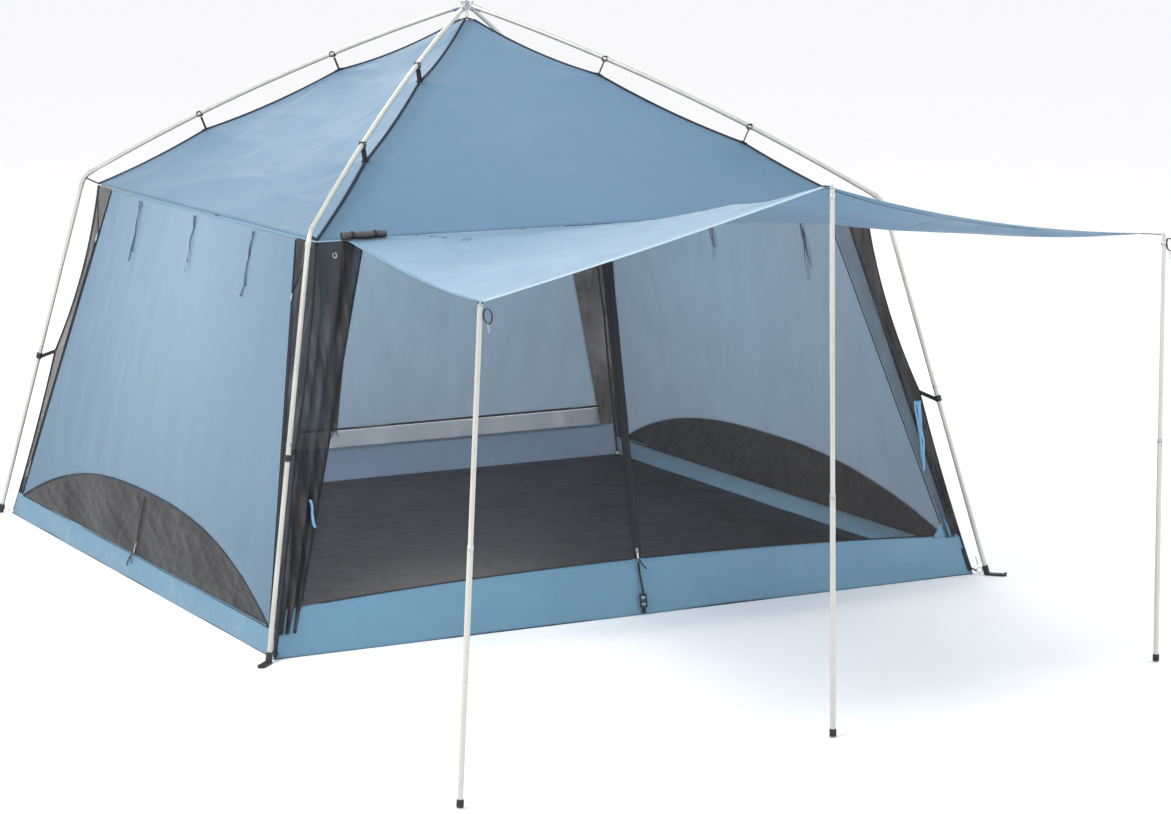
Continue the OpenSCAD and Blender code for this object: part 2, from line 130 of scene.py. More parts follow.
def make_world():
    """White surroundings, a shade darker where the camera sees them directly."""
    world = bpy.data.worlds.new("studio")
    world.use_nodes = True
    tree = world.node_tree
    back = tree.nodes["Background"]
    back.inputs["Color"].default_value = (0.985, 0.985, 1.0, 1.0)
    back.inputs["Strength"].default_value = 1.0
    seen = tree.nodes.new("ShaderNodeBackground")
    seen.inputs["Color"].default_value = (0.97, 0.97, 0.97, 1.0)
    path, mix = tree.nodes.new("ShaderNodeLightPath"), tree.nodes.new("ShaderNodeMixShader")
    tree.links.new(path.outputs["Is Camera Ray"], mix.inputs["Fac"])
    tree.links.new(back.outputs["Background"], mix.inputs[1])
    tree.links.new(seen.outputs["Background"], mix.inputs[2])
    tree.links.new(mix.outputs["Shader"], tree.nodes["World Output"].inputs["Surface"])
    bpy.context.scene.world = world
    bpy.context.scene.view_settings.view_transform = "Standard"


def make_stage():
    """World, soft lights, a weak lamp inside the room and the pale floor."""
    make_world()
    for light in LIGHTS:
        area_light(*light)
    data = bpy.data.lights.new("room", "POINT")
    data.energy = ROOM_LAMP_W
    data.color = ROOM_LAMP_COLOR
    data.shadow_soft_size = 0.6
    lamp = put("room", data)
    lamp.location = ROOM_LAMP_AT
    lamp.visible_camera = False
    half = FLOOR_HALF
    floor = mesh_piece("floor", [(-half, -half, 0), (half, -half, 0), (half, half, 0),
        (-half, half, 0)], [(0, 1, 2, 3)])
    floor.location.z = -0.001
    mat, tree, shader = new_material("floor_paper", (0.95, 0.95, 0.95), roughness=0.9)
    tint = noise(tree, 3.0, detail=3.0)
    paint(tree, shader, ramp(tree, tint, (0.94, 0.94, 0.94), (0.96, 0.96, 0.96)))
    floor.data.materials.append(mat)


# ---- material building blocks ----------------------------------------------------------

def new_material(name, color, roughness=0.6, metallic=0.0):
    mat = bpy.data.materials.new(name)
    mat.use_nodes = True
    shader = mat.node_tree.nodes["Principled BSDF"]
    shader.inputs["Base Color"].default_value = (*color, 1.0)
    shader.inputs["Roughness"].default_value = roughness
    shader.inputs["Metallic"].default_value = metallic
    mat.diffuse_color = (*color, 1.0)
    return mat, mat.node_tree, shader


def srgb(r, g, b):
    """Linear colour from 8-bit display values."""
    def one(c):
        c /= 255.0
        return c / 12.92 if c <= 0.04045 else ((c + 0.055) / 1.055) ** 2.4
    return one(r), one(g), one(b)


def coords(tree, scale=(1.0, 1.0, 1.0), uv=False):
    place = tree.nodes.new("ShaderNodeTexCoord")
    mapping = tree.nodes.new("ShaderNodeMapping")
    mapping.inputs["Scale"].default_value = scale
    tree.links.new(place.outputs["UV" if uv else "Object"], mapping.inputs["Vector"])
    return mapping.outputs["Vector"]


def noise(tree, scale, detail=4.0, stretch=(1.0, 1.0, 1.0), uv=False, distortion=0.0):
    tex = tree.nodes.new("ShaderNodeTexNoise")
    tex.inputs["Scale"].default_value = scale
    tex.inputs["Detail"].default_value = detail
    tex.inputs["Distortion"].default_value = distortion
    tree.links.new(coords(tree, stretch, uv), tex.inputs["Vector"])
    return tex.outputs["Fac"]


def wave(tree, scale, direction, uv=True, profile="SIN"):
    tex = tree.nodes.new("ShaderNodeTexWave")
    tex.bands_direction = direction
    tex.wave_profile = profile
    tex.inputs["Scale"].default_value = scale
    tree.links.new(coords(tree, uv=uv), tex.inputs["Vector"])
    return tex.outputs["Fac"]


def math_node(tree, op, a, b=None):
    node = tree.nodes.new("ShaderNodeMath")
    node.operation = op
    for socket, value in zip(node.inputs, (a, b)):
        if value is None:
            continue
        if isinstance(value, (int, float)):
            socket.default_value = value
        else:
            tree.links.new(value, socket)
    return node.outputs["Value"]


def ramp(tree, factor, low, high, start=0.3, stop=0.7):
    node = tree.nodes.new("ShaderNodeValToRGB")
    first, last = node.color_ramp.elements
    first.position, last.position = start, stop
    first.color, last.color = (*low, 1.0), (*high, 1.0)
    tree.links.new(factor, node.inputs["Fac"])
    return node.outputs["Color"]


def multiply(tree, a, b, amount=1.0):
    node = tree.nodes.new("ShaderNodeMix")
    node.data_type = "RGBA"
    node.blend_type = "MULTIPLY"
    node.inputs["Factor"].default_value = amount
    tree.links.new(a, node.inputs["A"])
    tree.links.new(b, node.inputs["B"])
    return node.outputs["Result"]


def paint(tree, shader, color):
    tree.links.new(color, shader.inputs["Base Color"])


def rough(tree, shader, factor, low, high):
    node = tree.nodes.new("ShaderNodeMapRange")
    node.inputs["To Min"].default_value = low
    node.inputs["To Max"].default_value = high
    tree.links.new(factor, node.inputs["Value"])
    tree.links.new(node.outputs["Result"], shader.inputs["Roughness"])


def bump(tree, shader, layers):
    """Chain of bumps: each layer is a height, its strength and its depth in metres."""
    last = None
    for height, strength, depth in layers:
        node = tree.nodes.new("ShaderNodeBump")
        node.inputs["Strength"].default_value = strength
        node.inputs["Distance"].default_value = depth
        tree.links.new(height, node.inputs["Height"])
        if last is not None:
            tree.links.new(last, node.inputs["Normal"])
        last = node.outputs["Normal"]
    tree.links.new(last, shader.inputs["Normal"])
    return last


def let_light_through(tree, shader, color, amount, normal):
    """Mixes in light that passes through the cloth from its other side."""
    glow = tree.nodes.new("ShaderNodeBsdfTranslucent")
    glow.inputs["Color"].default_value = (*color, 1.0)
    tree.links.new(normal, glow.inputs["Normal"])
    mix = tree.nodes.new("ShaderNodeMixShader")
    mix.inputs["Fac"].default_value = amount
    tree.links.new(shader.outputs["BSDF"], mix.inputs[1])
    tree.links.new(glow.outputs["BSDF"], mix.inputs[2])
    tree.links.new(mix.outputs["Shader"], tree.nodes["Material Output"].inputs["Surface"])


def scaled(color, factor):
    return tuple(min(1.0, c * factor) for c in color)


THREADS = 420.0    # threads of plain-weave cloth in a metre, as waves


def taffeta(name, color, glow=0.3, crease=0.6, sheen=0.15, shine=0.5):
    """Coated plain-weave cloth: fine weave, soft creases, a little light passing through."""
    mat, tree, shader = new_material(name, color, 0.5)
    shader.inputs["Sheen Weight"].default_value = sheen
    shader.inputs["Sheen Roughness"].default_value = 0.5
    shader.inputs["Specular IOR Level"].default_value = shine
    broad = ramp(tree, noise(tree, 0.9, 3.0), scaled(color, 0.94), scaled(color, 1.06))
    mottle = ramp(tree, noise(tree, 14.0, 5.0), (0.95, 0.95, 0.955), (1.0, 1.0, 1.0))
    warp, weft = wave(tree, THREADS / 2, "X"), wave(tree, THREADS / 2, "Y")
    weave = math_node(tree, "MULTIPLY", warp, weft)
    thread = ramp(tree, weave, (0.93, 0.93, 0.93), (1.0, 1.0, 1.0), 0.0, 1.0)
    paint(tree, shader, multiply(tree, multiply(tree, broad, mottle), thread, 0.7))
    rough(tree, shader, noise(tree, 6.0, 4.0), 0.42, 0.62)
    soft = noise(tree, 5.0, 4.0, (1.0, 1.0, 0.35), distortion=1.2)
    fine = noise(tree, 34.0, 5.0, (1.0, 1.0, 0.6), distortion=0.8)
    normal = bump(tree, shader, [(soft, crease, 0.012), (fine, crease * 0.5, 0.0016),
        (weave, 0.25, 0.00015)])
    pale = tuple(0.45 * min(1.0, 1.25 * c) + 0.55 * 0.92 for c in color)
    let_light_through(tree, shader, pale, glow, normal)
    return mat


def netting(name, color, cover, streaks=0.0):
    """Insect mesh: dark yarn with the light of what is behind it coming through its two faces; with streaks, the
    yarn is brightened and then darkened in lengthwise bands as painted highlight and shade of folds.
    """
    cover = 1 - math.sqrt(1 - cover)
    mat, tree, shader = new_material(name, color, 0.75)
    yarn = math_node(tree, "MAXIMUM", wave(tree, 300.0, "X"), wave(tree, 300.0, "Y"))
    cloudy = noise(tree, 3.2, 6.0, (1.0, 1.0, 0.4), distortion=2.0)
    thread = ramp(tree, yarn, scaled(color, 0.7), scaled(color, 1.25), 0.2, 0.9)
    # painted highlight and shade of gathered folds: the yarn is brightened, then darkened in long bands along the
    # mesh
    if streaks:
        fold = noise(tree, 26.0, 2.0, (1.0, 0.045, 1.0), uv=True)
        light = ramp(tree, fold, (1.0, 1.0, 1.0), (0.25, 0.25, 0.25), 0.36, 0.50)
        thread = multiply(tree, ramp(tree, yarn, scaled(color, streaks), scaled(color, streaks * 1.3)),
            light)
    paint(tree, shader, thread)
    veil = tree.nodes.new("ShaderNodeMapRange")
    veil.inputs["From Min"].default_value = 0.25
    veil.inputs["From Max"].default_value = 0.75
    veil.inputs["To Min"].default_value = cover * 0.80
    veil.inputs["To Max"].default_value = cover * 1.15
    tree.links.new(cloudy, veil.inputs["Value"])
    tree.links.new(veil.outputs["Result"], shader.inputs["Alpha"])
    bump(tree, shader, [(cloudy, 0.3, 0.01), (yarn, 0.3, 0.0002)])
    return mat


def webbing(name, color, ribs=260.0):
    """Narrow woven tape: cross ribs, a herringbone shade and slightly fuzzy edges."""
    mat, tree, shader = new_material(name, color, 0.8)
    rib = wave(tree, ribs, "Y", profile="TRI")
    twill = wave(tree, ribs * 0.7, "DIAGONAL")
    paint(tree, shader, multiply(tree, ramp(tree, rib, scaled(color, 0.6), scaled(color, 1.5)),
        ramp(tree, twill, (0.8, 0.8, 0.8), (1.0, 1.0, 1.0)), 0.8))
    rough(tree, shader, noise(tree, 60.0), 0.65, 0.9)
    bump(tree, shader, [(rib, 0.6, 0.0006), (noise(tree, 300.0), 0.3, 0.0003)])
    return mat


def painted_tube(name, color):
    """Powder-coated steel tube: slight orange peel, scuffs and rubbed streaks."""
    mat, tree, shader = new_material(name, color, 0.3, 0.45)
    shader.inputs["Coat Weight"].default_value = 0.15
    shader.inputs["Coat Roughness"].default_value = 0.2
    streak = noise(tree, 18.0, 6.0, (1.0, 1.0, 0.05))
    scuff = noise(tree, 90.0, 8.0, (1.0, 1.0, 0.4))
    worn = multiply(tree, ramp(tree, streak, scaled(color, 0.9), color, 0.35, 0.6),
        ramp(tree, scuff, (0.86, 0.85, 0.82), (1.0, 1.0, 1.0), 0.28, 0.42), 0.8)
    paint(tree, shader, worn)
    rough(tree, shader, streak, 0.24, 0.42)
    bump(tree, shader, [(noise(tree, 700.0, 3.0), 0.12, 0.0002), (scuff, 0.1, 0.0002)])
    return mat


def metal(name, color, roughness=0.32):
    mat, tree, shader = new_material(name, color, roughness, 1.0)
    grain = noise(tree, 220.0, 4.0, (1.0, 0.2, 1.0))
    smear = noise(tree, 30.0, 5.0)
    paint(tree, shader, ramp(tree, smear, scaled(color, 0.75), scaled(color, 1.1)))
    rough(tree, shader, smear, roughness - 0.1, roughness + 0.16)
    bump(tree, shader, [(grain, 0.2, 0.0002)])
    return mat


def moulded(name, color, roughness=0.5):
    mat, tree, shader = new_material(name, color, roughness)
    grain = noise(tree, 900.0, 4.0)
    dust = noise(tree, 40.0, 6.0)
    paint(tree, shader, ramp(tree, dust, scaled(color, 0.8), scaled(color, 1.7), 0.4, 0.8))
    rough(tree, shader, dust, roughness - 0.08, roughness + 0.15)
    bump(tree, shader, [(grain, 0.35, 0.0002), (noise(tree, 120.0), 0.1, 0.0005)])
    return mat


# ---- mesh building blocks --------------------------------------------------------------

def mesh_piece(name, verts, faces, uvs=None):
    mesh = bpy.data.meshes.new(name)
    mesh.from_pydata([tuple(map(float, v)) for v in verts], [], faces)
    if uvs is not None:
        layer = mesh.uv_layers.new(name="flat")
        flat = np.asarray(uvs, dtype=float)
        index = np.zeros(len(mesh.loops), dtype=int)
        mesh.loops.foreach_get("vertex_index", index)
        layer.data.foreach_set("uv", flat[index].ravel())
    mesh.validate()
    return put(name, mesh)


def cloth(name, points, flat, mat, thickness=SHEET_T, body="shelter"):
    """A sheet over a grid of points, rows x cols x 3, made a closed shell by Solidify."""
    rows, cols = points.shape[:2]
    r, c = np.meshgrid(np.arange(rows - 1), np.arange(cols - 1), indexing="ij")
    a = (r * cols + c).ravel()
    faces = np.stack([a, a + 1, a + cols + 1, a + cols], axis=1).tolist()
    obj = mesh_piece(name, points.reshape(-1, 3), faces, flat.reshape(-1, 2))
    obj.data.polygons.foreach_set("use_smooth", [True] * len(faces))
    thick = obj.modifiers.new("thickness", "SOLIDIFY")
    thick.thickness = thickness
    thick.offset = 0.0
    obj.data.materials.append(mat)
    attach(obj, body)
    return obj


def lengths_along(path):
    """Distance from the path's start to each of its points."""
    return np.concatenate([[0], np.cumsum(np.linalg.norm(np.diff(path, axis=0), axis=1))])


def tube(name, path, radius, mat, sides=10, body="shelter", squash=1.0, up=(0, 0, 1)):
    """A closed round or flattened tube along a path of points."""
    path = np.asarray(path, dtype=float)
    tangent = np.gradient(path, axis=0)
    tangent /= np.linalg.norm(tangent, axis=1)[:, None]
    side = np.cross(tangent, np.asarray(up, dtype=float))
    side /= np.maximum(np.linalg.norm(side, axis=1)[:, None], 1e-9)
    lift = np.cross(side, tangent)
    radius = np.broadcast_to(np.asarray(radius, dtype=float), (len(path),))
    turn = np.linspace(0, 2 * math.pi, sides, endpoint=False)
    ring = (path[:, None] + radius[:, None, None] * (np.cos(turn)[None, :, None] * side[:, None]
        + squash * np.sin(turn)[None, :, None] * lift[:, None]))
    verts = ring.reshape(-1, 3)
    faces = [(i * sides + k, i * sides + (k + 1) % sides, (i + 1) * sides + (k + 1) % sides,
        (i + 1) * sides + k) for i in range(len(path) - 1) for k in range(sides)]
    faces += [tuple(range(sides))[::-1], tuple((len(path) - 1) * sides + k for k in range(sides))]
    steps = lengths_along(path)
    uvs = [(radius[i] * turn[k], steps[i]) for i in range(len(path)) for k in range(sides)]
    obj = mesh_piece(name, verts, faces, uvs)
    obj.data.polygons.foreach_set("use_smooth", [True] * len(obj.data.polygons))
    obj.data.materials.append(mat)
    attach(obj, body)
    return obj


def ribbon(name, path, across, width, mat, thickness=0.0012, body="shelter"):
    """A flat tape along a path; across is its width's direction at each point."""
    path = np.asarray(path, dtype=float)
    across = np.broadcast_to(np.asarray(across, dtype=float), path.shape)
    across = across / np.linalg.norm(across, axis=1)[:, None]
    share = np.linspace(-0.5, 0.5, 5)
    points = path[:, None] + across[:, None] * (share * width)[None, :, None]
    steps = lengths_along(path)
    flat = np.stack(np.meshgrid(steps, share * width, indexing="ij"), axis=-1)[..., ::-1]
    return cloth(name, points, flat, mat, thickness, body)


def block(name, size, place, turn, mat, body="shelter", bevel=0.0015):
    """A small moulded block with rounded edges; turn is a 3x3 or 4x4 rotation."""
    bm = bmesh.new()
    bmesh.ops.create_cube(bm, size=1.0)
    bmesh.ops.scale(bm, vec=size, verts=bm.verts)
    bmesh.ops.bevel(bm, geom=bm.edges[:], offset=bevel, segments=3, affect="EDGES", profile=0.5)
    bmesh.ops.transform(bm, matrix=Matrix.Translation(place) @ turn.to_4x4(), verts=bm.verts)
    mesh = bpy.data.meshes.new(name)
    bm.to_mesh(mesh)
    bm.free()
    obj = put(name, mesh)
    obj.data.materials.append(mat)
    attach(obj, body)
    return obj


def unit_grid(cols, rows):
    """Two arrays that run from 0 to 1 across the columns and down the rows."""
    return np.meshgrid(np.linspace(0, 1, cols), np.linspace(0, 1, rows))


def pair(u, v):
    return np.stack([u, v], axis=-1)


def inside(share, rate):
    """1 in the middle of a 0 to 1 range, falling to 0 at both of its ends."""
    return np.clip(share * rate, 0, 1) * np.clip((1 - share) * rate, 0, 1)


def between(start, end, count=10):
    f = np.linspace(0, 1, count)[:, None]
    return start * (1 - f) + end * f


def up_by(height):
    return np.array([0, 0, height])


def waves(u, v, seed, count, length, angle=0.0, spread=math.pi):
    """Smooth random folds from -1 to 1: count sine waves near one wavelength and direction."""
    rng = np.random.default_rng(seed)
    total = np.zeros(np.broadcast(u, v).shape)
    for _ in range(count):
        way = angle + rng.uniform(-spread, spread)
        k = 2 * math.pi / (length * rng.uniform(0.6, 1.6))
        total += np.sin(k * (u * math.cos(way) + v * math.sin(way)) + rng.uniform(0, 2 * math.pi))
    return total / math.sqrt(count / 2) / 1.6


def creases(u, v, seed, length, angle=0.0, spread=0.3, count=7):
    """Narrow ridges with soft valleys between them, from 0 to 1."""
    return np.exp(-3.0 * np.abs(waves(u, v, seed, count, length, angle, spread)))


def pull_lines(u, v, point, seed, reach, spokes=9):
    """Tension wrinkles that fan out from a point and fade with distance."""
    du, dv = u - point[0], v - point[1]
    far = np.hypot(du, dv)
    turn = np.arctan2(dv, du)
    rng = np.random.default_rng(seed)
    fan = sum(np.sin(turn * spokes * rng.uniform(0.6, 1.5) + rng.uniform(0, 6.28)) for _ in range(4))
    return 0.4 * fan * np.exp(-far / reach) * np.clip(far / (0.3 * reach), 0, 1)


# ---- walls -----------------------------------------------------------------------------

QUARTER_TURN = ((1, 0), (0, 1), (-1, 0), (0, -1))  # cosine and sine of each side's turn


def wall_point(side, u, v, out):
    """A point on a side wall: u along the ground, v up the slope, out from the CAD face."""
    u, v, out = np.broadcast_arrays(u, v, out)
    y = -HEM + v * math.sin(LEAN) - out * math.cos(LEAN)
    z = v * math.cos(LEAN) + out * math.sin(LEAN)
    c, s = QUARTER_TURN[side]
    return np.stack([c * u - s * y, s * u + c * y, z], axis=-1)


def ways(side):
    """A wall's directions along the ground, up its slope and outwards."""
    origin = wall_point(side, 0, 0, 0)
    return [wall_point(side, *step) - origin for step in ((1, 0, 0), (0, 1, 0), (0, 0, 1))]


def half_at(v):
    """Half the width of a side at height v along its slope."""
    return HEM - (HEM - EAVE) * v / WALL_V


def strip_at(v):
    """Width of the corner mesh strip."""
    return STRIP_FOOT + (STRIP_TOP - STRIP_FOOT) * v / WALL_V


def inner_at(v):
    """Half the width of the wall between its corner strips."""
    return half_at(v) - strip_at(v)


def corner_in(v):
    """How far a corner edge is drawn in between its straps at the eave, middle and foot."""
    half = WALL_V / 2
    f = np.mod(v, half) / half
    return np.where(v < half, *CORNER_PULL) * 4 * f * (1 - f)


def vent_v(u):
    """Height of the arched top of a side vent."""
    reach = inner_at(SKIRT[LEFT]) - 0.020
    share = np.clip(np.abs(u) / reach, 0, 1)
    return SKIRT[LEFT] + GAP + VENT_RISE * (1 - share ** VENT_POWER)


def patch(side, left, right, low, high, rows, cols, out):
    """Grid between two side edges and two level edges; each edge is a function or number."""
    def value(edge, at):
        return edge(at) if callable(edge) else np.full_like(at, edge)
    s, t = unit_grid(cols, rows)
    base = (value(low, np.zeros(1)) + value(high, np.zeros(1)))[0] / 2
    v = np.full_like(s, base)
    for _ in range(3):
        u = value(left, v) * (1 - s) + value(right, v) * s
        v = value(low, u) * (1 - t) + value(high, u) * t
    u = value(left, v) * (1 - s) + value(right, v) * s
    return wall_point(side, u, v, out(u, v)), pair(u, v)


def area_of(width_low, width_high, height):
    return (width_low + width_high) / 2 * height


# ---- finishes --------------------------------------------------------------------------

ROOF_BLUE = srgb(91, 131, 160)
WALL_BLUE = srgb(114, 150, 174)
SKIRT_BLUE = srgb(110, 154, 180)
AWNING_BLUE = srgb(90, 139, 170)
DARK_GREY = srgb(37, 37, 39)
FLOOR_GREY = srgb(23, 23, 25)
NAVY = srgb(24, 34, 48)

roof_cloth = taffeta("roof_taffeta", ROOF_BLUE, glow=0.28, crease=0.4)
wall_cloth = taffeta("wall_taffeta", WALL_BLUE, glow=0.6, crease=0.4)
skirt_cloth = taffeta("skirt_taffeta", SKIRT_BLUE, glow=0.25, crease=0.8)
awning_cloth = taffeta("awning_taffeta", AWNING_BLUE, glow=0.30, crease=0.5)
vent_cloth = taffeta("vent_taffeta", DARK_GREY, glow=0.05, crease=1.0, sheen=0.03)
floor_cloth = taffeta("groundsheet_cloth", FLOOR_GREY, glow=0.0, crease=1.0, sheen=0.0,
    shine=0.15)
flap_cloth = taffeta("flap_taffeta", srgb(74, 71, 70), glow=0.0, crease=1.0, sheen=0.03)
door_net = netting("door_netting", srgb(80, 78, 80), 0.28)
# for the corner and gathered netting, the last number brightens the yarn for painted fold highlights and shade
corner_net = netting("corner_netting", srgb(48, 48, 50), 0.60, 1.6)
dense_net = netting("gathered_netting", srgb(31, 31, 34), 0.95, 3.2)
back_net = netting("back_netting", srgb(132, 152, 168), 0.90)
back_skirt = taffeta("back_skirt_taffeta", srgb(106, 140, 172), glow=0.45, crease=0.8)
skirt_tape = webbing("skirt_hem_tape", scaled(SKIRT_BLUE, 0.9), 180.0)
black_web = webbing("black_webbing", srgb(38, 39, 44))
navy_web = webbing("navy_binding", NAVY, 200.0)
blue_hem = webbing("blue_hem_tape", scaled(WALL_BLUE, 0.95), 180.0)
seam_tape = webbing("awning_seam_tape", scaled(AWNING_BLUE, 0.55), 180.0)
pale_hem = webbing("pale_hem_tape", srgb(176, 196, 208), 180.0)
tie_web = webbing("tie_tape", srgb(60, 86, 116), 300.0)
light_tie = webbing("light_tie_tape", srgb(120, 168, 206), 300.0)
zip_tape = webbing("zip_tape", srgb(40, 40, 44), 220.0)
zip_coil = moulded("zip_coil", srgb(34, 34, 37), 0.4)
tube_paint = painted_tube("frame_paint", srgb(196, 196, 189))
steel = metal("plated_steel", srgb(196, 198, 200))
pull_metal = metal("zip_pull_metal", srgb(214, 214, 212), 0.28)
black_plastic = moulded("black_plastic", srgb(32, 32, 35))
rubber = moulded("tip_rubber", srgb(38, 38, 40), 0.75)


def finish_cad(mat, *nodes):
    """Gives CAD solids that stay visible their finish."""
    for node in nodes:
        for slot in frame["nodes"][node].material_slots:
            slot.material = mat


# ---- frame -----------------------------------------------------------------------------

def corner_dir(i):
    """Unit vector outwards along the diagonal to corner i, in the order of CORNERS."""
    angle = -math.pi / 4 + i * math.pi / 2
    return np.array([math.cos(angle), math.sin(angle), 0.0])


def leg_line(i):
    """A leg's foot, its direction upwards and its lower section's length, from the CAD box."""
    low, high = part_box("leg_lower_" + CORNERS[i])
    out = corner_dir(i)
    foot_r = max(abs(low[0]), abs(high[0])) * math.sqrt(2)
    top_r = min(abs(low[0]), abs(high[0])) * math.sqrt(2)
    foot = out * (foot_r - TUBE_RADIUS) + up_by(low[2])
    top = out * (top_r + TUBE_RADIUS) + up_by(high[2])
    way = top - foot
    return foot, way / np.linalg.norm(way), np.linalg.norm(way)


def rotation_to(way, side=None):
    """Rotation whose Z runs along way, and whose X is as near to side as it can be."""
    z = Vector(way).normalized()
    x = Vector(side) if side is not None else z.orthogonal()
    x = (x - z * x.dot(z)).normalized()
    y = z.cross(x)
    return Matrix((x, y, z)).transposed()


def make_frame():
    finish_cad(tube_paint, *[part + c for part in ("roof_pole_", "leg_upper_", "leg_lower_")
        for c in CORNERS])
    finish_cad(steel, "hub", "peak_ring", "foot_rings")
    finish_cad(black_plastic, "pole_clips", *["foot_" + c for c in CORNERS])
    finish_cad(black_web, "corner_straps")
    for i, name in enumerate(CORNERS):
        foot, way, length = leg_line(i)
        out = Vector(corner_dir(i))
        across = Vector(way).cross(out).normalized()
        joint = foot + way * (length - 0.02)
        tube("ferrule_" + name, [joint - way * 0.006, joint + way * 0.006], 0.0118, steel, 24,
            up=tuple(across))
        button = Vector(foot + way * (length - 0.06)) + across * 0.0108
        tube("spring_button_" + name, [button, button + across * 0.003], [0.0035, 0.0028],
            steel, 14, up=tuple(way))


# ---- roof ------------------------------------------------------------------------------

CLIP_AT = (0.33, 0.68)                             # the clips' places along a roof pole
RIDGE_SAG = (0.025, 0.018, 0.013)                  # scallops between the straps, from the peak
PEAK_HALF = 0.026
BELLY = 0.0128                                     # how far a panel's middle hangs
ROOF_STRETCH = 1.18                                # slope length per metre of half width


ELBOW_R = ELBOW_HALF * math.sqrt(2)
POLE_CHORD = math.hypot(ELBOW_R, HUB_Z - ELBOW_Z)
POLE_SLOPE = math.atan2(HUB_Z - ELBOW_Z, ELBOW_R)


def ridge_knots():
    """Where the straps hold the ridge, as half width and height, below the bowed roof pole."""
    radius = POLE_CHORD ** 2 / (8 * POLE_BOW) + POLE_BOW / 2
    half = math.asin(POLE_CHORD / 2 / radius)
    centre = (ELBOW_R / 2 - (radius - POLE_BOW) * math.sin(POLE_SLOPE),
        (HUB_Z + ELBOW_Z) / 2 - (radius - POLE_BOW) * math.cos(POLE_SLOPE))
    knots = [(PEAK_HALF, PEAK_Z)]
    for q in CLIP_AT:
        angle = math.pi / 2 - POLE_SLOPE + half - 2 * half * q
        r = centre[0] + (radius - CLIP_DROP) * math.cos(angle)
        knots.append((r / math.sqrt(2), centre[1] + (radius - CLIP_DROP) * math.sin(angle)))
    return knots + [(EAVE, EAVE_Z)]


KNOTS = ridge_knots()


def ridge_line(steps):
    """The canopy's ridge from the peak to the eave, scalloped between its straps."""
    line = []
    for k in range(3):
        for j in range(steps):
            f = j / steps
            (r0, z0), (r1, z1) = KNOTS[k], KNOTS[k + 1]
            line.append((r0 + (r1 - r0) * f, z0 + (z1 - z0) * f - RIDGE_SAG[k] * 4 * f * (1 - f)))
    return np.array(line + [KNOTS[3]])


def turned(points, side):
    """Front side points turned to another side."""
    c, s = QUARTER_TURN[side]
    x, y = points[..., 0].copy(), points[..., 1].copy()
    points[..., 0], points[..., 1] = c * x - s * y, s * x + c * y
    return points


def roof_panel(side, name):
    """One triangular panel, held along its ridges and slightly slack between them."""
    line = ridge_line(26)
    cols = 81
    s = np.linspace(-1, 1, cols)[None]
    r, zr = line[:, 0][:, None], line[:, 1][:, None]
    along = (r - PEAK_HALF) / (EAVE - PEAK_HALF)
    straight = PEAK_Z + (EAVE_Z - PEAK_Z) * along
    near_ridge = np.abs(s) ** 3.0
    z = straight * (1 - near_ridge) + zr * near_ridge
    z = z - BELLY * (1 - s ** 2) * 4 * along * (1 - along)
    u, v = s * r, np.broadcast_to(r * ROOF_STRETCH, (len(line), cols))
    lift = 0.0045 * waves(u, v, 11 + side, 12, 0.9) * (1 - s ** 6)
    for k, (kr, _) in enumerate(KNOTS[1:]):
        for sign in (-1, 1):
            knot = (sign * kr, kr * ROOF_STRETCH)
            lift = lift + 0.006 * pull_lines(u, v, knot, 31 + 7 * k + side, 0.22)
    lift = lift + 0.003 * creases(u, v, 5 + side, 0.5, math.pi / 2, 0.6) * (1 - s ** 4)
    lift = lift * np.clip((1 - along) * 12, 0, 1) * np.clip(along * 6, 0, 1)
    points = np.stack(np.broadcast_arrays(s * (r - 0.5 * GAP), -r, z + 0.001 + lift), axis=-1)
    obj = cloth(name + "_cloth", turned(points, side), pair(u, v), roof_cloth)
    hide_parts(name)


def make_roof():
    for side, name in enumerate(SIDES):
        roof_panel(side, "roof_" + name)
    line = ridge_line(20)
    for i, name in enumerate(CORNERS):
        out = corner_dir(i)
        path = [out * (r * math.sqrt(2)) + up_by(z + 0.004) for r, z in line]
        tube("ridge_binding_" + name, path, 0.0062, navy_web, 10, squash=0.75)
        top = out * (PEAK_HALF * math.sqrt(2)) + up_by(PEAK_Z + 0.002)
        loop = [top, top * 0.6 + up_by(0.4 * PEAK_Z + 0.006), up_by(PEAK_Z + 0.012)]
        tube("peak_loop_" + name, loop, 0.003, navy_web, 8)
    for side in (RIGHT, BACK, LEFT):
        reach = inner_at(WALL_TOP) - 0.004
        path = wall_point(side, np.linspace(-reach, reach, 60), WALL_V - 0.007, 0.0026)
        ribbon("eave_seam_" + SIDES[side], path, -ways(side)[1], 0.007, blue_hem, 0.001)


# ---- side walls ------------------------------------------------------------------------

def wall_folds(seed, bottom):
    """Out-of-plane shape of a stretched wall: broad billows, folds and corner tension."""
    def out(u, v):
        edge = np.clip((inner_at(v) - np.abs(u)) / 0.12, 0, 1)
        ends = np.clip((v - bottom(u)) / 0.05, 0, 1) * np.clip((WALL_TOP - v) / 0.06, 0, 1)
        shape = 0.008 * waves(u, v, seed, 9, 1.1)
        shape = shape + 0.0035 * waves(u, v, seed + 1, 12, 0.20, 0.0, 0.35)
        shape = shape + 0.0045 * creases(u, v, seed + 2, 0.34, 0.15, 0.3)
        for j, (sign, height) in enumerate(((-1, 0.1), (1, 0.1), (-1, 1.75), (1, 1.75))):
            point = (sign * inner_at(height), height)
            shape = shape + 0.009 * pull_lines(u, v, point, seed + 10 + j, 0.30)
        return 0.001 + shape * edge * ends
    return out


def wall_edges(lap):
    """A wall's two slanted edges, as far past the corner strips' edges as the lap."""
    return lambda v: -inner_at(v) - lap, lambda v: inner_at(v) + lap


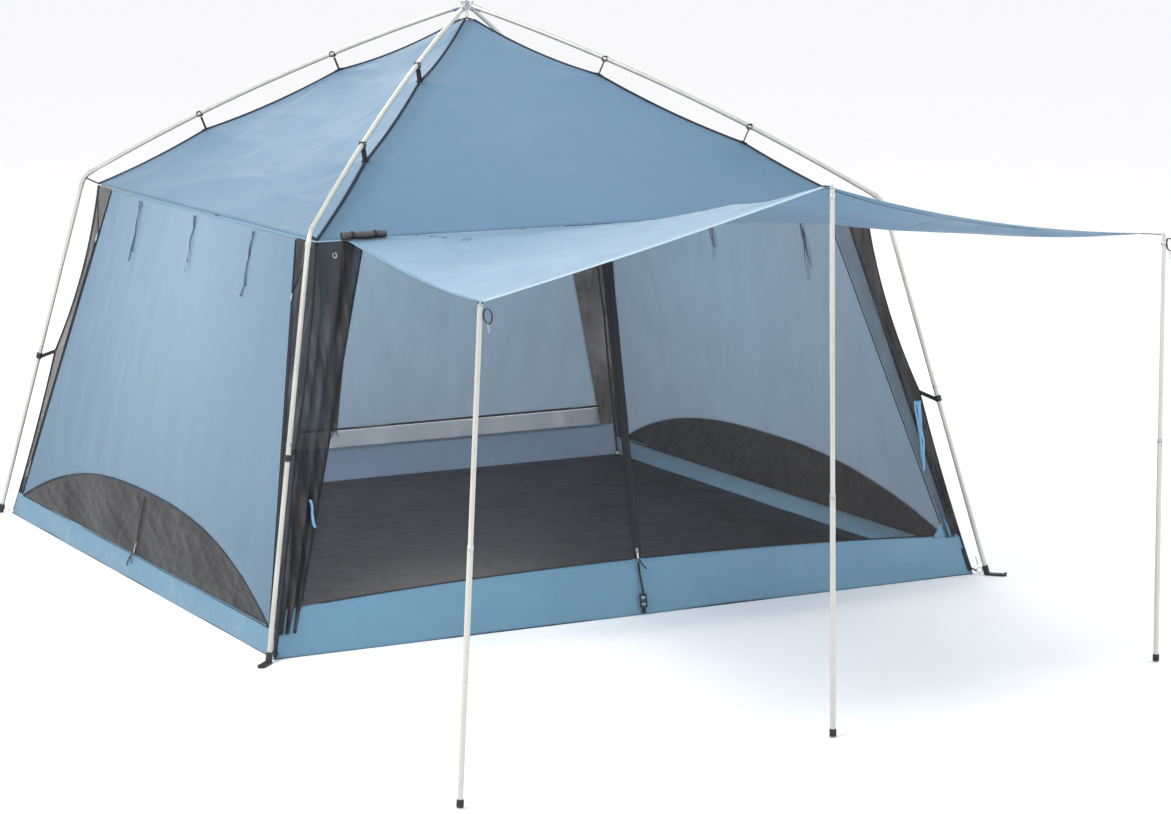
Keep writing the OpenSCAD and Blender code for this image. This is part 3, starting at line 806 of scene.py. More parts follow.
def side_wall(side, name, seed):
    """A side wall that is cut away over its arched vent."""
    points, flat = patch(side, *wall_edges(LAP), lambda u: vent_v(u) - 0.003, WALL_TOP, 90, 130,
        wall_folds(seed, vent_v))
    wall = cloth(name + "_cloth", points, flat, wall_cloth)
    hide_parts(name)
    width = 2 * inner_at(0.1)
    area_of(width, 2 * inner_at(WALL_V), WALL_V) * 0.82
    v = np.linspace(SKIRT[side] + 0.02, WALL_TOP - 0.01, 60)
    for end, sign in (("back", -1), ("front", 1)):
        edge = wall_point(side, (sign if side == LEFT else -sign) * inner_at(v), v, 0.004)
        tube("%s_edge_%s" % (name, end), edge, 0.0045, navy_web, 8, squash=0.6)


def side_vent(side, vent_name, seed):
    """The arched vent's slack, creased cloth and its bindings."""
    reach = inner_at(SKIRT[side]) - 0.022
    s, t = np.meshgrid(np.linspace(-1, 1, 141), np.linspace(0, 1, 44))
    u = s * reach
    v = (SKIRT[side] - LAP) * (1 - t) + (vent_v(u) + 0.003) * t
    hold = np.clip((1 - np.abs(s)) * 8, 0, 1) * inside(t, 6)
    puff = 0.010 * waves(u, v, seed + 30, 9, 0.6) + 0.006 * creases(u, v, seed + 31, 0.16, 0.9, 0.4)
    puff = puff + 0.005 * creases(u, v, seed + 32, 0.10, 2.2, 0.5)
    flat_seam = 1 - np.exp(-(u / 0.06) ** 2)
    points = wall_point(side, u, v, -0.001 + hold * puff * flat_seam)
    vent = cloth(vent_name + "_cloth", points, pair(u, v), vent_cloth)
    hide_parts(vent_name)
    arc_u = np.linspace(-reach, reach, 90)
    along = wall_point(side, arc_u, vent_v(arc_u) + 0.002, 0.004)
    tube(vent_name + "_binding", along, 0.0035, navy_web, 8, squash=0.6)
    base = wall_point(side, np.linspace(-reach, reach, 60), SKIRT[side] + 0.001, 0.0035)
    tube(vent_name + "_base_binding", base, 0.0028, navy_web, 8, squash=0.6)


TOOTH_PITCH, TOOTH_HALF = 0.0045, 0.0034


def zip_run(name, side, v0, v1, width0, width1, out, mat=zip_tape, body="shelter", replaces=None):
    """A zip on a wall's middle line: a tape that narrows downwards and a row of coil teeth."""
    v = np.linspace(v0, v1, 60)
    s = np.linspace(-0.5, 0.5, 7)[None]
    f = ((v - v0) / (v1 - v0))[:, None]
    wide = width0 * (1 - f) + width1 * f
    lift = out + 0.0015 * np.cos(s * 2 * math.pi) + 0.0015 * waves(f * 6, s, 3, 5, 1.2)
    points = wall_point(side, s * wide, v[:, None], lift)
    flat = pair(*np.broadcast_arrays(s * wide, v[:, None]))
    tape = cloth(name + "_tape", points, flat, mat, 0.0011, body)
    if replaces:
        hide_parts(replaces)
    zip_teeth(name, side, v0, v1, out, body)


def zip_teeth(name, side, v0, v1, out, body):
    """The coil's teeth as one piece, on the side of the tape that is away from the wall."""
    verts, faces = [], []
    lean = -1 if out < 0 else 1
    for k in range(int((v1 - v0 - 0.02) / TOOTH_PITCH)):
        c = v0 + 0.01 + k * TOOTH_PITCH
        swing = 0.0009 if k % 2 else -0.0009
        corners = [(swing - TOOTH_HALF, c - 0.001), (swing + TOOTH_HALF, c - 0.001),
            (swing + TOOTH_HALF, c + 0.001), (swing - TOOTH_HALF, c + 0.001)]
        first = len(verts)
        for depth in (0.0012, 0.0034):
            for cu, cv in corners:
                verts.append(wall_point(side, cu, cv, out + lean * depth))
        faces += [(first, first + 3, first + 2, first + 1), (first + 4, first + 5, first + 6, first + 7)]
        faces += [(first + j, first + (j + 1) % 4, first + 4 + (j + 1) % 4, first + 4 + j)
            for j in range(4)]
    coil = mesh_piece(name + "_coil", verts, faces)
    coil.data.materials.append(zip_coil)
    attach(coil, body)


def slider(name, side, body, tails):
    """Zip slider: bevelled body, bridge, pull ring and paddle, and its cord tails."""
    low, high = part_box(name)
    middle = Vector([(a + b) / 2 for a, b in zip(low, high)])
    _, slope, outward = map(Vector, ways(side))
    if side == BACK:
        outward = -outward
    turn = rotation_to(slope, outward)
    top = middle + slope * 0.018
    shell = block(name + "_body", (0.0042, 0.0105, 0.015), top, turn, pull_metal, body, 0.0012)
    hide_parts(name)
    block(name + "_bridge", (0.003, 0.003, 0.011), top + outward * 0.0032, turn, pull_metal, body,
        0.001)
    ring = [top + outward * 0.0035 - slope * 0.010 + (slope * math.cos(a) + outward.cross(slope)
        * math.sin(a)) * 0.0055 for a in np.linspace(0, 2 * math.pi, 25)]
    tube(name + "_ring", ring, 0.0011, pull_metal, 8, body, up=tuple(outward))
    block(name + "_paddle", (0.0022, 0.0085, 0.030), top + outward * 0.004 - slope * 0.029, turn,
        pull_metal, body, 0.001)
    for k in range(tails):
        slider_tail("%s_tail_%d" % (name, k), k, top, slope, outward, body)


def slider_tail(name, k, top, slope, outward, body):
    """A slider's cord tail; the first and the second hang to opposite sides."""
    across = outward.cross(slope)
    sign = 1 if k % 2 else -1
    f = np.linspace(0, 1, 14)[:, None]
    base = np.array(top + outward * 0.008 - slope * 0.040)
    path = (base - np.array(slope) * f * (0.050 + 0.02 * k)
        + np.array(across) * sign * 0.03 * f ** 1.6
        + np.array(outward) * (0.003 * f + 0.010 * np.sin(f * 2.6)))
    ribbon(name, path, np.array(across) + 0.2 * np.array(outward), 0.008, black_web, 0.0012, body)


def back_wall():
    """The back wall with the mesh strip below it; both lie flat along the middle zip."""
    foot = SKIRT[BACK] + BACK_STRIP
    folds = wall_folds(201, lambda u: np.full_like(u, foot))
    points, flat = patch(BACK, *wall_edges(-GAP), foot + 2 * GAP, WALL_TOP, 90, 130,
        lambda u, v: 0.001 + (1 - np.exp(-(u / 0.09) ** 2)) * (folds(u, v) - 0.001))
    back = cloth("wall_back_cloth", points, flat, wall_cloth)
    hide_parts("wall_back")
    height = WALL_TOP - SKIRT[BACK] - BACK_STRIP
    2 * inner_at(0.26)
    area_of(2 * inner_at(0.26), 2 * inner_at(WALL_TOP), height)
    points, flat = patch(BACK, *wall_edges(-GAP), SKIRT[BACK] + GAP, foot + GAP, 8, 90,
        lambda u, v: np.full_like(u, 0.001))
    strip = cloth("back_mesh_net", points, flat, back_net)
    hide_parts("back_mesh")
    2 * inner_at(0.2)
    zip_run("back_zip", BACK, foot + 0.004, WALL_TOP - 0.004, 0.045, 0.085, -0.007,
        replaces="back_zip")
    slider("back_zip_slider", BACK, "back_zip_pull", 2)
    hem = wall_point(BACK, np.linspace(-1.62, 1.62, 60), foot + 0.012, -0.002)
    ribbon("back_wall_hem", hem, ways(BACK)[1], 0.014, navy_web, 0.0012)


def make_side_walls():
    for side, seed in ((LEFT, 101), (RIGHT, 151)):
        side_wall(side, "wall_" + SIDES[side], seed)
        side_vent(side, "vent_" + SIDES[side], seed)
        low, high = SKIRT[side] + 0.01, SKIRT[side] + VENT_RISE - 0.02
        zip_run("vent_zip_" + SIDES[side], side, low, high, 0.012, 0.010, 0.006, vent_cloth)
        slider("vent_slider_" + SIDES[side], side, SIDES[side] + "_vent_pull", 2)
    back_wall()


# ---- corner mesh -----------------------------------------------------------------------

THIN_NET = (("back_left", 0), ("back_left", 1), ("front_right", 0))    # corner and its half


def strip_grid(side, sign, v0, v1, folds, seed, lift):
    """A mesh strip from a wall's edge to the corner; sign is the end of the side it is on."""
    s, t = unit_grid(25, 90)
    v = v0 + (v1 - v0) * t
    inner, outer = inner_at(v) - 0.005, half_at(v) - 0.002 - corner_in(v)
    u = sign * (inner * (1 - s) + outer * s)
    calm = inside(s, 5) * np.clip((WALL_TOP - v) / 0.15, 0, 1)
    shape = folds * calm * np.sin(s * 2 * math.pi * 2.5 + waves(v, s, seed, 6, 0.9))
    shape = shape + 0.004 * calm * waves(u, v, seed + 1, 8, 0.35, 0.2, 0.5)
    out = 0.001 + lift - corner_in(v) * s ** 1.5 + shape
    return wall_point(side, u, v, out), pair(u, v)


def make_corner_mesh():
    """Two mesh strips and a binding at each corner; the front ones are gathered in folds."""
    for i, name in enumerate(CORNERS):
        for part, (side, sign) in enumerate(((i, 1), ((i + 1) % 4, -1))):
            front = side == FRONT
            v0 = SKIRT[side] + GAP
            if front:
                v0 = 0.10 if name == "front_left" else 0.185
            folds, lift = (0.013, 0.006) if front else (0.004, 0.0)
            net = corner_net if (name, part) in THIN_NET else dense_net
            points, flat = strip_grid(side, sign, v0, WALL_TOP, folds, 301 + 10 * i + part, lift)
            piece = cloth("corner_net_%s_%s" % (name, SIDES[side]), points, flat, net)
            if part == 0:
                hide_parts("corner_mesh_" + name)
        v = np.linspace(0.02, WALL_TOP, 90)
        edge = wall_point(i, half_at(v) - 0.001 - corner_in(v), v, -corner_in(v) + 0.001)
        tube("corner_binding_" + name, edge, 0.007, navy_web, 10, squash=0.7, up=tuple(corner_dir(i)))


def make_corner_details():
    """Gusset seams, small pulls and zips at the ends of the left and right walls."""
    for side in (LEFT, RIGHT):
        level, slope, _ = map(Vector, ways(side))
        for sign, end in ((-1, "_a"), (1, "_b")):
            name = SIDES[side] + end
            f = np.linspace(0, 1, 16)
            v = 1.53 + 0.20 * f
            u = sign * ((inner_at(1.53) + 0.006) * (1 - f) + (half_at(1.73) - 0.030) * f)
            tube("gusset_seam_" + name, wall_point(side, u, v, 0.006), 0.0032, navy_web, 8, squash=0.6)
            place = Vector(wall_point(side, sign * (inner_at(1.50) + 0.004), 1.505, 0.009))
            block("gusset_pull_" + name, (0.012, 0.032, 0.004), place,
                rotation_to(level.cross(slope), level), pull_metal, bevel=0.0014)
            f = np.linspace(0, 1, 30)
            v = 0.30 + 1.18 * f
            u = sign * (inner_at(v) + 0.016)
            tube("corner_zip_" + name, wall_point(side, u, v, 0.005), 0.0040, zip_tape, 8, squash=0.5)


def make_corner_hook():
    """An open hook at the top of the front left corner mesh."""
    hook = Vector(wall_point(FRONT, -1.325, 1.700, 0.012))
    turn = np.linspace(0.3, 5.6, 24)
    path = [hook + Vector((0.008 * math.sin(a), 0.002 * math.cos(a), 0.012 * math.cos(a)))
        for a in turn]
    tube("corner_hook", path, 0.0022, pull_metal, 8, up=(0, 1, 0))


# ---- skirts and floor ------------------------------------------------------------------

def skirt_top(side, u):
    """Top edge of a skirt; the front one rises in a shallow bow."""
    if side != FRONT:
        return np.full_like(u, SKIRT[side])
    return 0.190 + 0.055 * (1 - np.clip(np.abs(u + 0.15) / 1.75, 0, 1) ** 2)


def skirt_gusset():
    """A loose fold of cloth above the right end of the front skirt."""
    f, g = unit_grid(14, 14)
    u = 1.575 + (0.105 * f) * (1 - g) + 0.092 * g
    v = 0.190 + 0.115 * g
    out = 0.005 + 0.003 * np.sin(f * 9)
    cloth("skirt_gusset", wall_point(FRONT, u, v, out), pair(u, v), skirt_cloth)


def skirt_panel(side, name):
    """A skirt that bulges a little between its hem and the ground, with its hem tape."""
    s, t = unit_grid(181, 26)
    v = t * SKIRT[side]
    for _ in range(2):
        edge = half_at(v) - GAP - corner_in(v)
        u = -edge * (1 - s) + edge * s
        v = t * skirt_top(side, u)
    ends = inside(s, 9)
    free = np.sin(t * math.pi)
    shape = ends * free * (0.010 + 0.006 * waves(u, v, 401 + side, 9, 0.8, 0.0, 0.3)
        + 0.004 * creases(u, v, 411 + side, 0.20, 1.3, 0.5))
    shape = shape + ends * (1 - t) * 0.004 * waves(u, v * 0, 421 + side, 7, 0.9, 0.0, 0.2)
    if side == FRONT:
        shape = shape * (1 - 0.85 * np.exp(-(u / 0.10) ** 2))    # flat behind the buckle
    inward = -corner_in(v) * np.abs(2 * s - 1) ** 6
    points = wall_point(side, u, v * (1 + 0.006 / SKIRT[side]) + 0.0004, 0.0022 + inward + shape)
    points[..., 2] = np.maximum(points[..., 2], 0.0006)
    skirt = cloth("skirt_%s_cloth" % name, points, pair(u, v),
        back_skirt if side == BACK else skirt_cloth)
    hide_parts("skirt_" + name)
    u = np.linspace(-1.66, 1.66, 90)
    out = 0.0035 - corner_in(skirt_top(side, u)) * (np.abs(u) / 1.75) ** 6
    path = wall_point(side, u, skirt_top(side, u) - 0.004, out)
    ribbon("skirt_%s_hem" % name, path, ways(side)[1], 0.011, skirt_tape, 0.001)


def make_skirts():
    for side, name in enumerate(SIDES):
        skirt_panel(side, name)
    skirt_gusset()


def make_floor():
    """The groundsheet, lying on the ground with soft creases."""
    half = HEM + 0.003
    x, y = np.meshgrid(np.linspace(-half, half, 110), np.linspace(-half, half, 110))
    calm = np.clip((half - np.maximum(np.abs(x), np.abs(y))) * 9, 0, 1)
    z = 0.0012 + calm * (0.004 * creases(x, y, 501, 0.5, 0.4, 1.5) + 0.005 * creases(x, y, 502, 0.3)
        + 0.003 * (1 + waves(x, y, 503, 10, 0.9)))
    points = np.stack([x, y, z], axis=-1)
    sheet = cloth("groundsheet_cloth", points, pair(x, y), floor_cloth)
    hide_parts("groundsheet")


# ---- front doors -----------------------------------------------------------------------

DOOR_GAP = 0.022                                   # between a leaf and the zip's middle


def door_leaf(sign, name):
    """A netting leaf with the tapes along its sill and its outer edge."""
    body = name + "_door_leaf"
    s, t = unit_grid(110, 110)
    v = DOOR_V0 + (DOOR_V1 - DOOR_V0) * t
    for _ in range(3):
        u = sign * (DOOR_GAP * (1 - s) + (inner_at(v) - 0.005) * s)
        low = skirt_top(FRONT, u) + 0.002
        v = low + (DOOR_V1 - low) * t
    calm = inside(s, 8) * inside(t, 8)
    shape = 0.012 * waves(u, v, 601 + sign, 9, 1.0)
    shape = shape + 0.008 * creases(u, v, 611 + sign, 0.5, 0.9 * sign, 0.3)
    for k, (at, height) in enumerate(((0.03, 1.7), (1.4, 1.7), (1.6, 0.25), (0.03, 0.3))):
        shape = shape + 0.012 * pull_lines(u, v, (sign * at, height), 620 + 4 * k + sign, 0.5)
    points = wall_point(FRONT, u, v, 0.001 + calm * shape)
    leaf = cloth("door_%s_net" % name, points, pair(u, v), door_net, body=body)
    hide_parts("door_" + name)
    inner_at(DOOR_V0) - 0.027
    area_of(inner_at(DOOR_V0), inner_at(DOOR_V1), DOOR_V1 - DOOR_V0) * 0.99
    u = sign * np.linspace(0.03, 1.55, 70)
    path = wall_point(FRONT, u, skirt_top(FRONT, u) + 0.008, 0.0035)
    ribbon("door_%s_sill_tape" % name, path, ways(FRONT)[1], 0.006, zip_tape, 0.001, body)
    v = np.linspace(DOOR_V0 + 0.01, DOOR_V1 - 0.005, 60)
    path = wall_point(FRONT, sign * (inner_at(v) - 0.008), v, 0.0035)
    tube("door_%s_edge_tape" % name, path, 0.0045, navy_web, 8, body, 0.6)


def make_doors():
    """Both leaves, and the zip that rides on the left one."""
    for sign, name in ((-1, "left"), (1, "right")):
        door_leaf(sign, name)
    zip_run("front_zip", FRONT, 0.250, DOOR_V1 - 0.002, 0.036, 0.058, 0.0036,
        body="left_door_leaf", replaces="front_zip")
    slider("front_zip_slider", FRONT, "front_zip_pull", 1)


def make_buckle():
    """Ladder buckle below the front zip, with its strap and tab."""
    def part(name, size, u, v, mat, bevel):
        block("buckle_" + name, size, Vector(wall_point(FRONT, u, v, 0.018)), turn, mat, bevel=bevel)
    turn = rotation_to(ways(FRONT)[1], (1, 0, 0))
    v = np.linspace(0.090, 0.235, 24)
    bow = 0.016 + 0.003 * np.sin(v * 26)
    strap = ribbon("buckle_strap", wall_point(FRONT, 0.004 * np.sin(v * 20), v, bow), (1, 0, 0),
        0.010, black_web, 0.0014)
    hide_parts("sill_buckle")
    for name, u in (("left", -0.0145), ("right", 0.0145)):
        part("rail_" + name, (0.0055, 0.010, 0.062), u, 0.061, black_plastic, 0.0018)
    for k, height in enumerate((0.033, 0.059, 0.089)):
        part("bar_%d" % k, (0.030, 0.009, 0.007), 0, height, black_plastic, 0.0016)
    for k, height in enumerate((0.046, 0.075)):
        part("pin_%d" % k, (0.024, 0.004, 0.004), 0, height, pull_metal, 0.001)
    v = np.linspace(0.004, 0.036, 10)
    ribbon("buckle_tab", wall_point(FRONT, 0 * v, v, 0.012 + 0.1 * v), (1, 0, 0), 0.020, black_web,
        0.0018)


# ---- ties and the rolled flap ----------------------------------------------------------

TIE_TOP = WALL_TOP - 0.02


def tie(name, side, u, length, out, seed, mat, lean, top=TIE_TOP):
    """A flat tie that hangs down a wall, waving and turning a little on its way."""
    f = np.linspace(0, 1, 40)
    rng = np.random.default_rng(seed)
    a, b, c = rng.uniform(0, 6.28, 3)
    v = top - length * f
    sway = 0.008 * np.sin(f * 5 + a) * f + lean * f
    off = out + math.copysign(1, out) * (0.004 + 0.006 * np.abs(np.sin(f * 7 + b)))
    path = wall_point(side, u + sway, v, off)
    twist = 0.5 * np.sin(f * 6 + c) * f
    level, _, outward = ways(side)
    across = np.cos(twist)[:, None] * level + np.sin(twist)[:, None] * outward
    return ribbon(name, path, across, 0.012, mat, 0.0011)


TIES_OUTSIDE = (-0.740, 0.0, 0.720)                # places along the left wall
TIES_INSIDE = ((RIGHT, 0.150), (RIGHT, -0.780), (BACK, -1.040), (BACK, -0.420), (BACK, 0.750))


def make_ties():
    """Pairs of ties under the eaves, and the light ones at the front corners."""
    for j, (end, sign) in enumerate((("a", 1), ("b", -1))):
        for k, u in enumerate(TIES_OUTSIDE):
            tie("tie_left_%d%s" % (k, end), LEFT, u - 0.009 * sign,
                0.25 + 0.05 * j - 0.03 * (k % 2), 0.004, 700 + 2 * k + j, tie_web, 0.02 * sign)
        for k, (side, u) in enumerate(TIES_INSIDE):
            tie("tie_inside_%d%s" % (k, end), side, u - 0.009 * sign, 0.40 - 0.07 * j, -0.003,
                720 + 2 * k + j, tie_web, 0.03 * sign)
    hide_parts("tie_tapes")
    tie("tie_front_left", FRONT, -1.555, 0.12, 0.016, 741, light_tie, 0.01, 0.66)
    for j, end in enumerate("abc"):
        tie("tie_front_right_" + end, FRONT, 1.545 + 0.014 * j, 0.33 - 0.04 * j, 0.014,
            742 + j, light_tie, 0.012 * (1 - j), 0.84)


ROLL_TURNS = 2.6
ROLL_TIES = (0.25, 0.75)


def make_rolled_flap():
    """Dark cloth rolled up in a spiral and tied under the front eave."""
    low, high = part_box("rolled_flap")
    centre_y, centre_z = (low[1] + high[1]) / 2, (low[2] + high[2]) / 2
    radius = (high[1] - low[1]) / 2
    f, t = unit_grid(60, 120)
    turn = t * 2 * math.pi * ROLL_TURNS
    r = radius * (0.35 + 0.65 * t) + 0.0016 * waves(turn * 0.1, f, 751, 8, 0.5)
    r = r * (1 - 0.13 * sum(np.exp(-((f - share) / 0.05) ** 2) for share in ROLL_TIES))
    x = low[0] + (high[0] - low[0]) * f + 0.006 * (t - 0.5)
    points = np.stack([x, centre_y + r * np.sin(turn), centre_z + r * np.cos(turn)], axis=-1)
    length = radius * 0.675 * 2 * math.pi * ROLL_TURNS
    roll = cloth("rolled_flap_cloth", points, pair(f * 0.21, t * length), flap_cloth)
    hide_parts("rolled_flap")
    angle = np.linspace(0, 2 * math.pi, 40)
    for k, share in enumerate(ROLL_TIES):
        x = low[0] + (high[0] - low[0]) * share
        path = np.stack([np.full_like(angle, x), centre_y + radius * 0.93 * np.sin(angle),
            centre_z + radius * 0.93 * np.cos(angle)], axis=-1)
        ribbon("roll_tie_%d" % k, path, (1, 0, 0), 0.010, navy_web, 0.0012)
        start = np.array([x, centre_y + radius * 0.9, centre_z])
        end = np.array([x, -EAVE - 0.006, EAVE_Z + 0.006])
        ribbon("roll_hanger_%d" % k, between(start, end, 8), (1, 0, 0), 0.010, navy_web, 0.0012)


# ---- straps and clips ------------------------------------------------------------------

def hoop(centre, a, b, radius):
    """A closed circle around a centre, in the plane of two directions."""
    around = np.linspace(0, 2 * math.pi, 33)[:, None]
    return centre + radius * (a * np.cos(around) + b * np.sin(around))


def ridge_clips(i, name):
    """The clips on one roof pole, with the straps that carry the ridge; returns the clips."""
    out = corner_dir(i)
    across = np.cross([0, 0, 1], out)
    lean = out * math.sin(POLE_SLOPE) + up_by(math.cos(POLE_SLOPE))
    clips = []
    for k, (r, z) in enumerate(KNOTS[1:3]):
        foot = out * r * math.sqrt(2) + up_by(z + 0.006)
        ring = hoop(foot + lean * (CLIP_DROP - 0.006), lean, np.cross(across, lean), 0.0135)
        tag = "_%s_%d" % (name, k)
        clips.append(ribbon("ridge_clip" + tag, ring, across, 0.026, black_plastic, 0.0032))
        ribbon("ridge_strap" + tag, between(foot, foot + lean * 0.062), across, 0.024, black_web,
            0.0016)
        block("ridge_pad" + tag, (0.030, 0.034, 0.003), Vector(foot), rotation_to(lean, across),
            black_web, bevel=0.001)
    return clips


def corner_straps(i, name):
    """The straps from a corner's webbing to its leg, elbow and foot; returns the elbow's."""
    out = corner_dir(i)
    across = np.cross([0, 0, 1], out)
    foot, way, _ = leg_line(i)
    leg_mid = foot + way * (WALL_V / 2 - 0.02)
    outward = np.cross(across, way)
    outward = outward if outward.dot(out) > 0 else -outward
    ribbon("leg_clip_" + name, hoop(leg_mid, outward, across, 0.0140), way, 0.028, black_plastic,
        0.0032)
    hold = wall_point(i, half_at(WALL_V / 2) - 0.004, WALL_V / 2, 0.0)
    ribbon("leg_strap_" + name, between(leg_mid - outward * 0.014, hold), way, 0.024, black_web,
        0.0016)
    eave = out * (EAVE * math.sqrt(2) - 0.004) + up_by(EAVE_Z + 0.003)
    elbow = out * (ELBOW_R - 0.012) + up_by(ELBOW_Z - 0.010)
    strap = ribbon("eave_strap_" + name, between(eave, elbow), across, 0.025, black_web, 0.0018)
    ring_at = out * (HEM * math.sqrt(2) + 0.020) + up_by(0.016)
    corner = out * (HEM * math.sqrt(2) - 0.012) + up_by(0.030)
    ribbon("foot_strap_" + name, between(corner, ring_at), across, 0.025, black_web, 0.0018)
    v = np.linspace(0.016, 0.125, 14)
    edge = wall_point(i, half_at(v) - corner_in(v) - 0.012, v, 0.006 - corner_in(v))
    ribbon("foot_web_" + name, edge, ways(i)[0], 0.022, black_web, 0.0016)
    return strap


def make_straps():
    """Every clip and strap between the canopy and the frame."""
    clips, straps = [], []
    for i, name in enumerate(CORNERS):
        clips += ridge_clips(i, name)
        straps.append(corner_straps(i, name))
    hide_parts("pole_clips")
    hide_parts("corner_straps")


# ---- awning ----------------------------------------------------------------------------

PIVOTS = [np.array(pivot(name + "_pole_pivot")) for name in POLES]
REACH = (0.038, 0.034, 0.082)                      # from each grommet to the cloth's corner
PULL_WAY = ((0.5, 1.0, 0.0), (0.0, 1.0, 0.0), (-0.9, 1.0, 0.0))
EDGE_BOW = ((0, 0.020, -0.014), (0, 0.055, -0.046))   # bow of the outer edge's two halves
AWNING_LEFT, AWNING_RIGHT, AWNING_SAG = -1.262, 1.310, 0.055
AWNING_W, AWNING_L = 2.9, 2.6                      # span of its texture coordinates
HINGE = np.array(pivot("awning_swing")) + np.array([0, -0.003, -0.0015])


def corner_of(k):
    """A corner of the cloth, set back from the pole's grommet."""
    way = np.array(PULL_WAY[k])
    return PIVOTS[k] + REACH[k] * way / np.linalg.norm(way)


def outer_edge(a):
    """The outer edge, in two bowed halves between the three corners."""
    a = np.asarray(a, dtype=float)[..., None]
    halves = [(1 - f) * corner_of(k) + f * corner_of(k + 1) + np.array(EDGE_BOW[k]) * 4 * f * (1 - f)
        for k, f in enumerate((2 * a, 2 * a - 1))]
    return np.where(a <= 0.5, *halves)


def awning_point(a, b):
    """A point of the awning: a from left to right, b from the eave to the outer edge."""
    a, b = np.broadcast_arrays(np.asarray(a, dtype=float), np.asarray(b, dtype=float))
    eave = np.stack([AWNING_LEFT + (AWNING_RIGHT - AWNING_LEFT) * a, np.full_like(a, HINGE[1]),
        np.full_like(a, HINGE[2])], axis=-1)
    far = np.abs(2 * a - 1)
    hump = 4 * b * (1 - b)
    point = (1 - b)[..., None] * eave + b[..., None] * outer_edge(a)
    point[..., 2] -= AWNING_SAG * hump * (0.45 + 0.55 * far ** 2)
    point[..., 0] += np.where(a < 0.5, 1, -1) * 0.060 * hump * far ** 3
    return point


def awning_sheet():
    """The cloth, slack in the middle and creased towards its corners."""
    a, b = unit_grid(181, 161)
    points = awning_point(a, b)
    u = (a - 0.5) * AWNING_W
    v = b * AWNING_L
    calm = np.clip(b * 8, 0, 1) * np.clip((1 - b) * 10, 0, 1)
    calm = calm * inside(a, 10)
    lift = 0.010 * waves(u, v, 801, 9, 1.1) + 0.006 * creases(u, v, 802, 0.45, 0.1, 0.25)
    for k, spot in enumerate(((-1.45, 2.6), (0.0, 2.6), (1.45, 2.6), (-1.4, 0.0), (1.4, 0.0))):
        lift = lift + 0.018 * pull_lines(u, v, spot, 810 + k, 0.55)
    points[..., 2] += 0.002 + calm * lift
    sheet = cloth("awning_cloth", points, pair(u, v), awning_cloth, body="awning_panel")
    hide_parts("awning")


def awning_trim(body):
    """Hems, the seam across the right half and two short ties."""
    edge = np.linspace(0.004, 0.996, 90)
    path = awning_point(edge, np.full_like(edge, 0.996)) + up_by(0.0035)
    ribbon("awning_front_hem", path, (0, 1, 0), 0.022, pale_hem, 0.0011, body)
    for name, at in (("left", 0.004), ("right", 0.996)):
        path = awning_point(np.full_like(edge, at), edge) + up_by(0.0035)
        ribbon("awning_%s_hem" % name, path, (1, 0, 0), 0.020, blue_hem, 0.0011, body)
    half = np.linspace(0.5, 0.996, 60)
    path = awning_point(half, 0.985 - 0.035 * np.sin((half - 0.5) * 2 * math.pi))
    for name, height in (("top", 0.0032), ("under", 0.0004)):
        ribbon("awning_seam_" + name, path + up_by(height), (0, 1, 0), 0.008, seam_tape, 0.0008,
            body)
    ends = (((0.142, 0.045), (0.160, 0.115)), ((0.174, 0.150), (0.190, 0.155)))
    for k, ((a0, b0), (a1, b1)) in enumerate(ends):
        f = np.linspace(0, 1, 12)
        path = awning_point(a0 + (a1 - a0) * f, b0 + (b1 - b0) * f)
        path = path + np.stack([0 * f, 0 * f, 0.007 + 0.010 * np.abs(np.sin(f * 6))], axis=-1)
        ribbon("awning_tie_%d" % k, path, (0.3, 1, 0), 0.010, navy_web, 0.0011, body)


def pole_strap(name, top, body):
    """The oval strap and short chain that hang at the top of an outer pole."""
    turn = np.linspace(0, 2 * math.pi, 33)[:, None]
    middle = np.array(top) + np.array([0.028, -0.004, -0.030])
    oval = (middle + 0.017 * np.cos(turn) * np.array([1, 0.1, 0])
        + 0.027 * np.sin(turn) * np.array([-0.15, 0, 1]))
    ribbon("pole_strap_" + name, oval, (0.1, 1, 0), 0.010, black_web, 0.0024, body)
    for c in range(3):
        hang = middle + np.array([0.002 * c, 0, -0.031 - 0.011 * c])
        way = np.array([1, 0, 0]) if c % 2 else np.array([0.3, 1, 0])
        loop = hang + 0.0065 * np.sin(turn) * up_by(1) + 0.004 * np.cos(turn) * way
        tube("pole_chain_%s_%d" % (name, c), loop, 0.0012, steel, 8, body, up=(-way[1], way[0], 0.01))


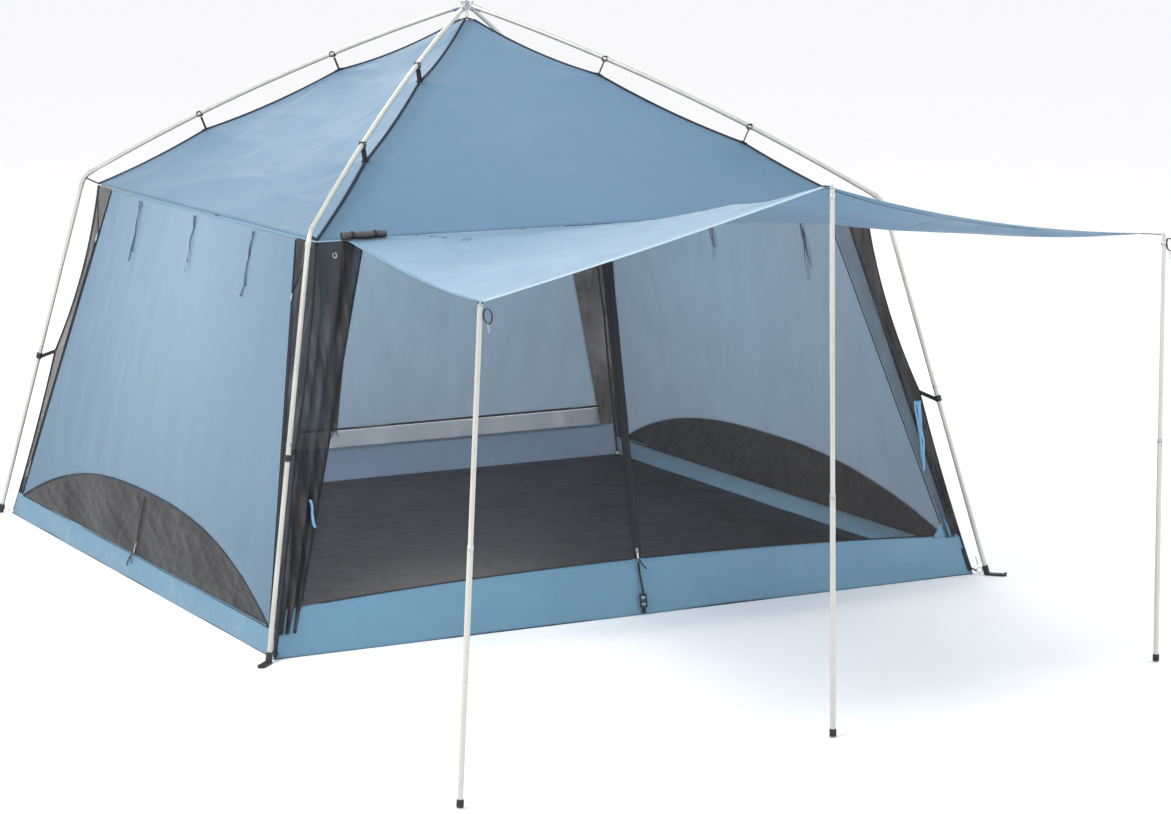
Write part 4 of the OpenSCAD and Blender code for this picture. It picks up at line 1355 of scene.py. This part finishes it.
def pole_fittings(name, p, axis):
    """A pole's top ring or strap, and the collar, button and rubber tip of its lower section."""
    upper, lower = name + "_pole_upper", name + "_pole_lower"
    top = Vector(p) - axis * 0.012
    if name != "left":
        tube("pole_top_ring_" + name, [top - axis * 0.030, top - axis * 0.012], 0.0108, steel, 24,
            upper, up=(1, 0, 0))
    if name != "mid":
        pole_strap(name, top, upper)
    foot = Vector(p) - axis * (p[2] / axis[2])
    tube("pole_tip_" + name, [foot + axis * h for h in (0.004, 0.007, 0.031, 0.034)],
        [0.0128, 0.0138, 0.0138, 0.0118], rubber, 28, lower, up=(1, 0, 0))
    joint = foot + axis * 0.957
    tube("pole_collar_" + name, [joint - axis * 0.016, joint + axis * 0.001], 0.0116, steel, 28,
        lower, up=(1, 0, 0))
    button = foot + axis * 0.930 + Vector((0, -0.011, 0))
    tube("pole_button_" + name, [button, button + Vector((0, -0.003, 0))], [0.0035, 0.0028],
        steel, 14, lower)


def make_awning():
    """The awning, and the grommet, webbing and pole at each of its outer corners."""
    body = "awning_panel"
    awning_sheet()
    awning_trim(body)
    for k, name in enumerate(POLES):
        p, corner = PIVOTS[k], corner_of(k)
        way = (corner - p) / np.linalg.norm(corner - p)
        turn = np.linspace(0, 2 * math.pi, 41)
        ring = p + 0.0085 * np.stack([np.cos(turn), np.sin(turn), 0 * turn], axis=-1)
        made = tube("grommet_" + name, ring, 0.0017, steel, 12, body)
        if k == 0:
            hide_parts("awning_rings")
        web = between(p + way * 0.010, corner + way * 0.03) + up_by(0.001)
        ribbon("grommet_web_" + name, web, np.cross([0, 0, 1], way), 0.020, black_web, 0.0018, body)
        slide = next(j for j in frame["joints"] if j["name"] == name + "_pole_slide")
        pole_fittings(name, p, Vector(slide["axis"]))
    finish_cad(tube_paint, *["awning_pole_%s_%s" % (name, part) for part in ("upper", "lower")
        for name in POLES])


make_camera()
make_stage()
make_frame()
make_roof()
make_side_walls()
make_corner_mesh()
make_corner_details()
make_corner_hook()
make_skirts()
make_floor()
make_doors()
make_buckle()
make_ties()
make_rolled_flap()
make_straps()
make_awning()
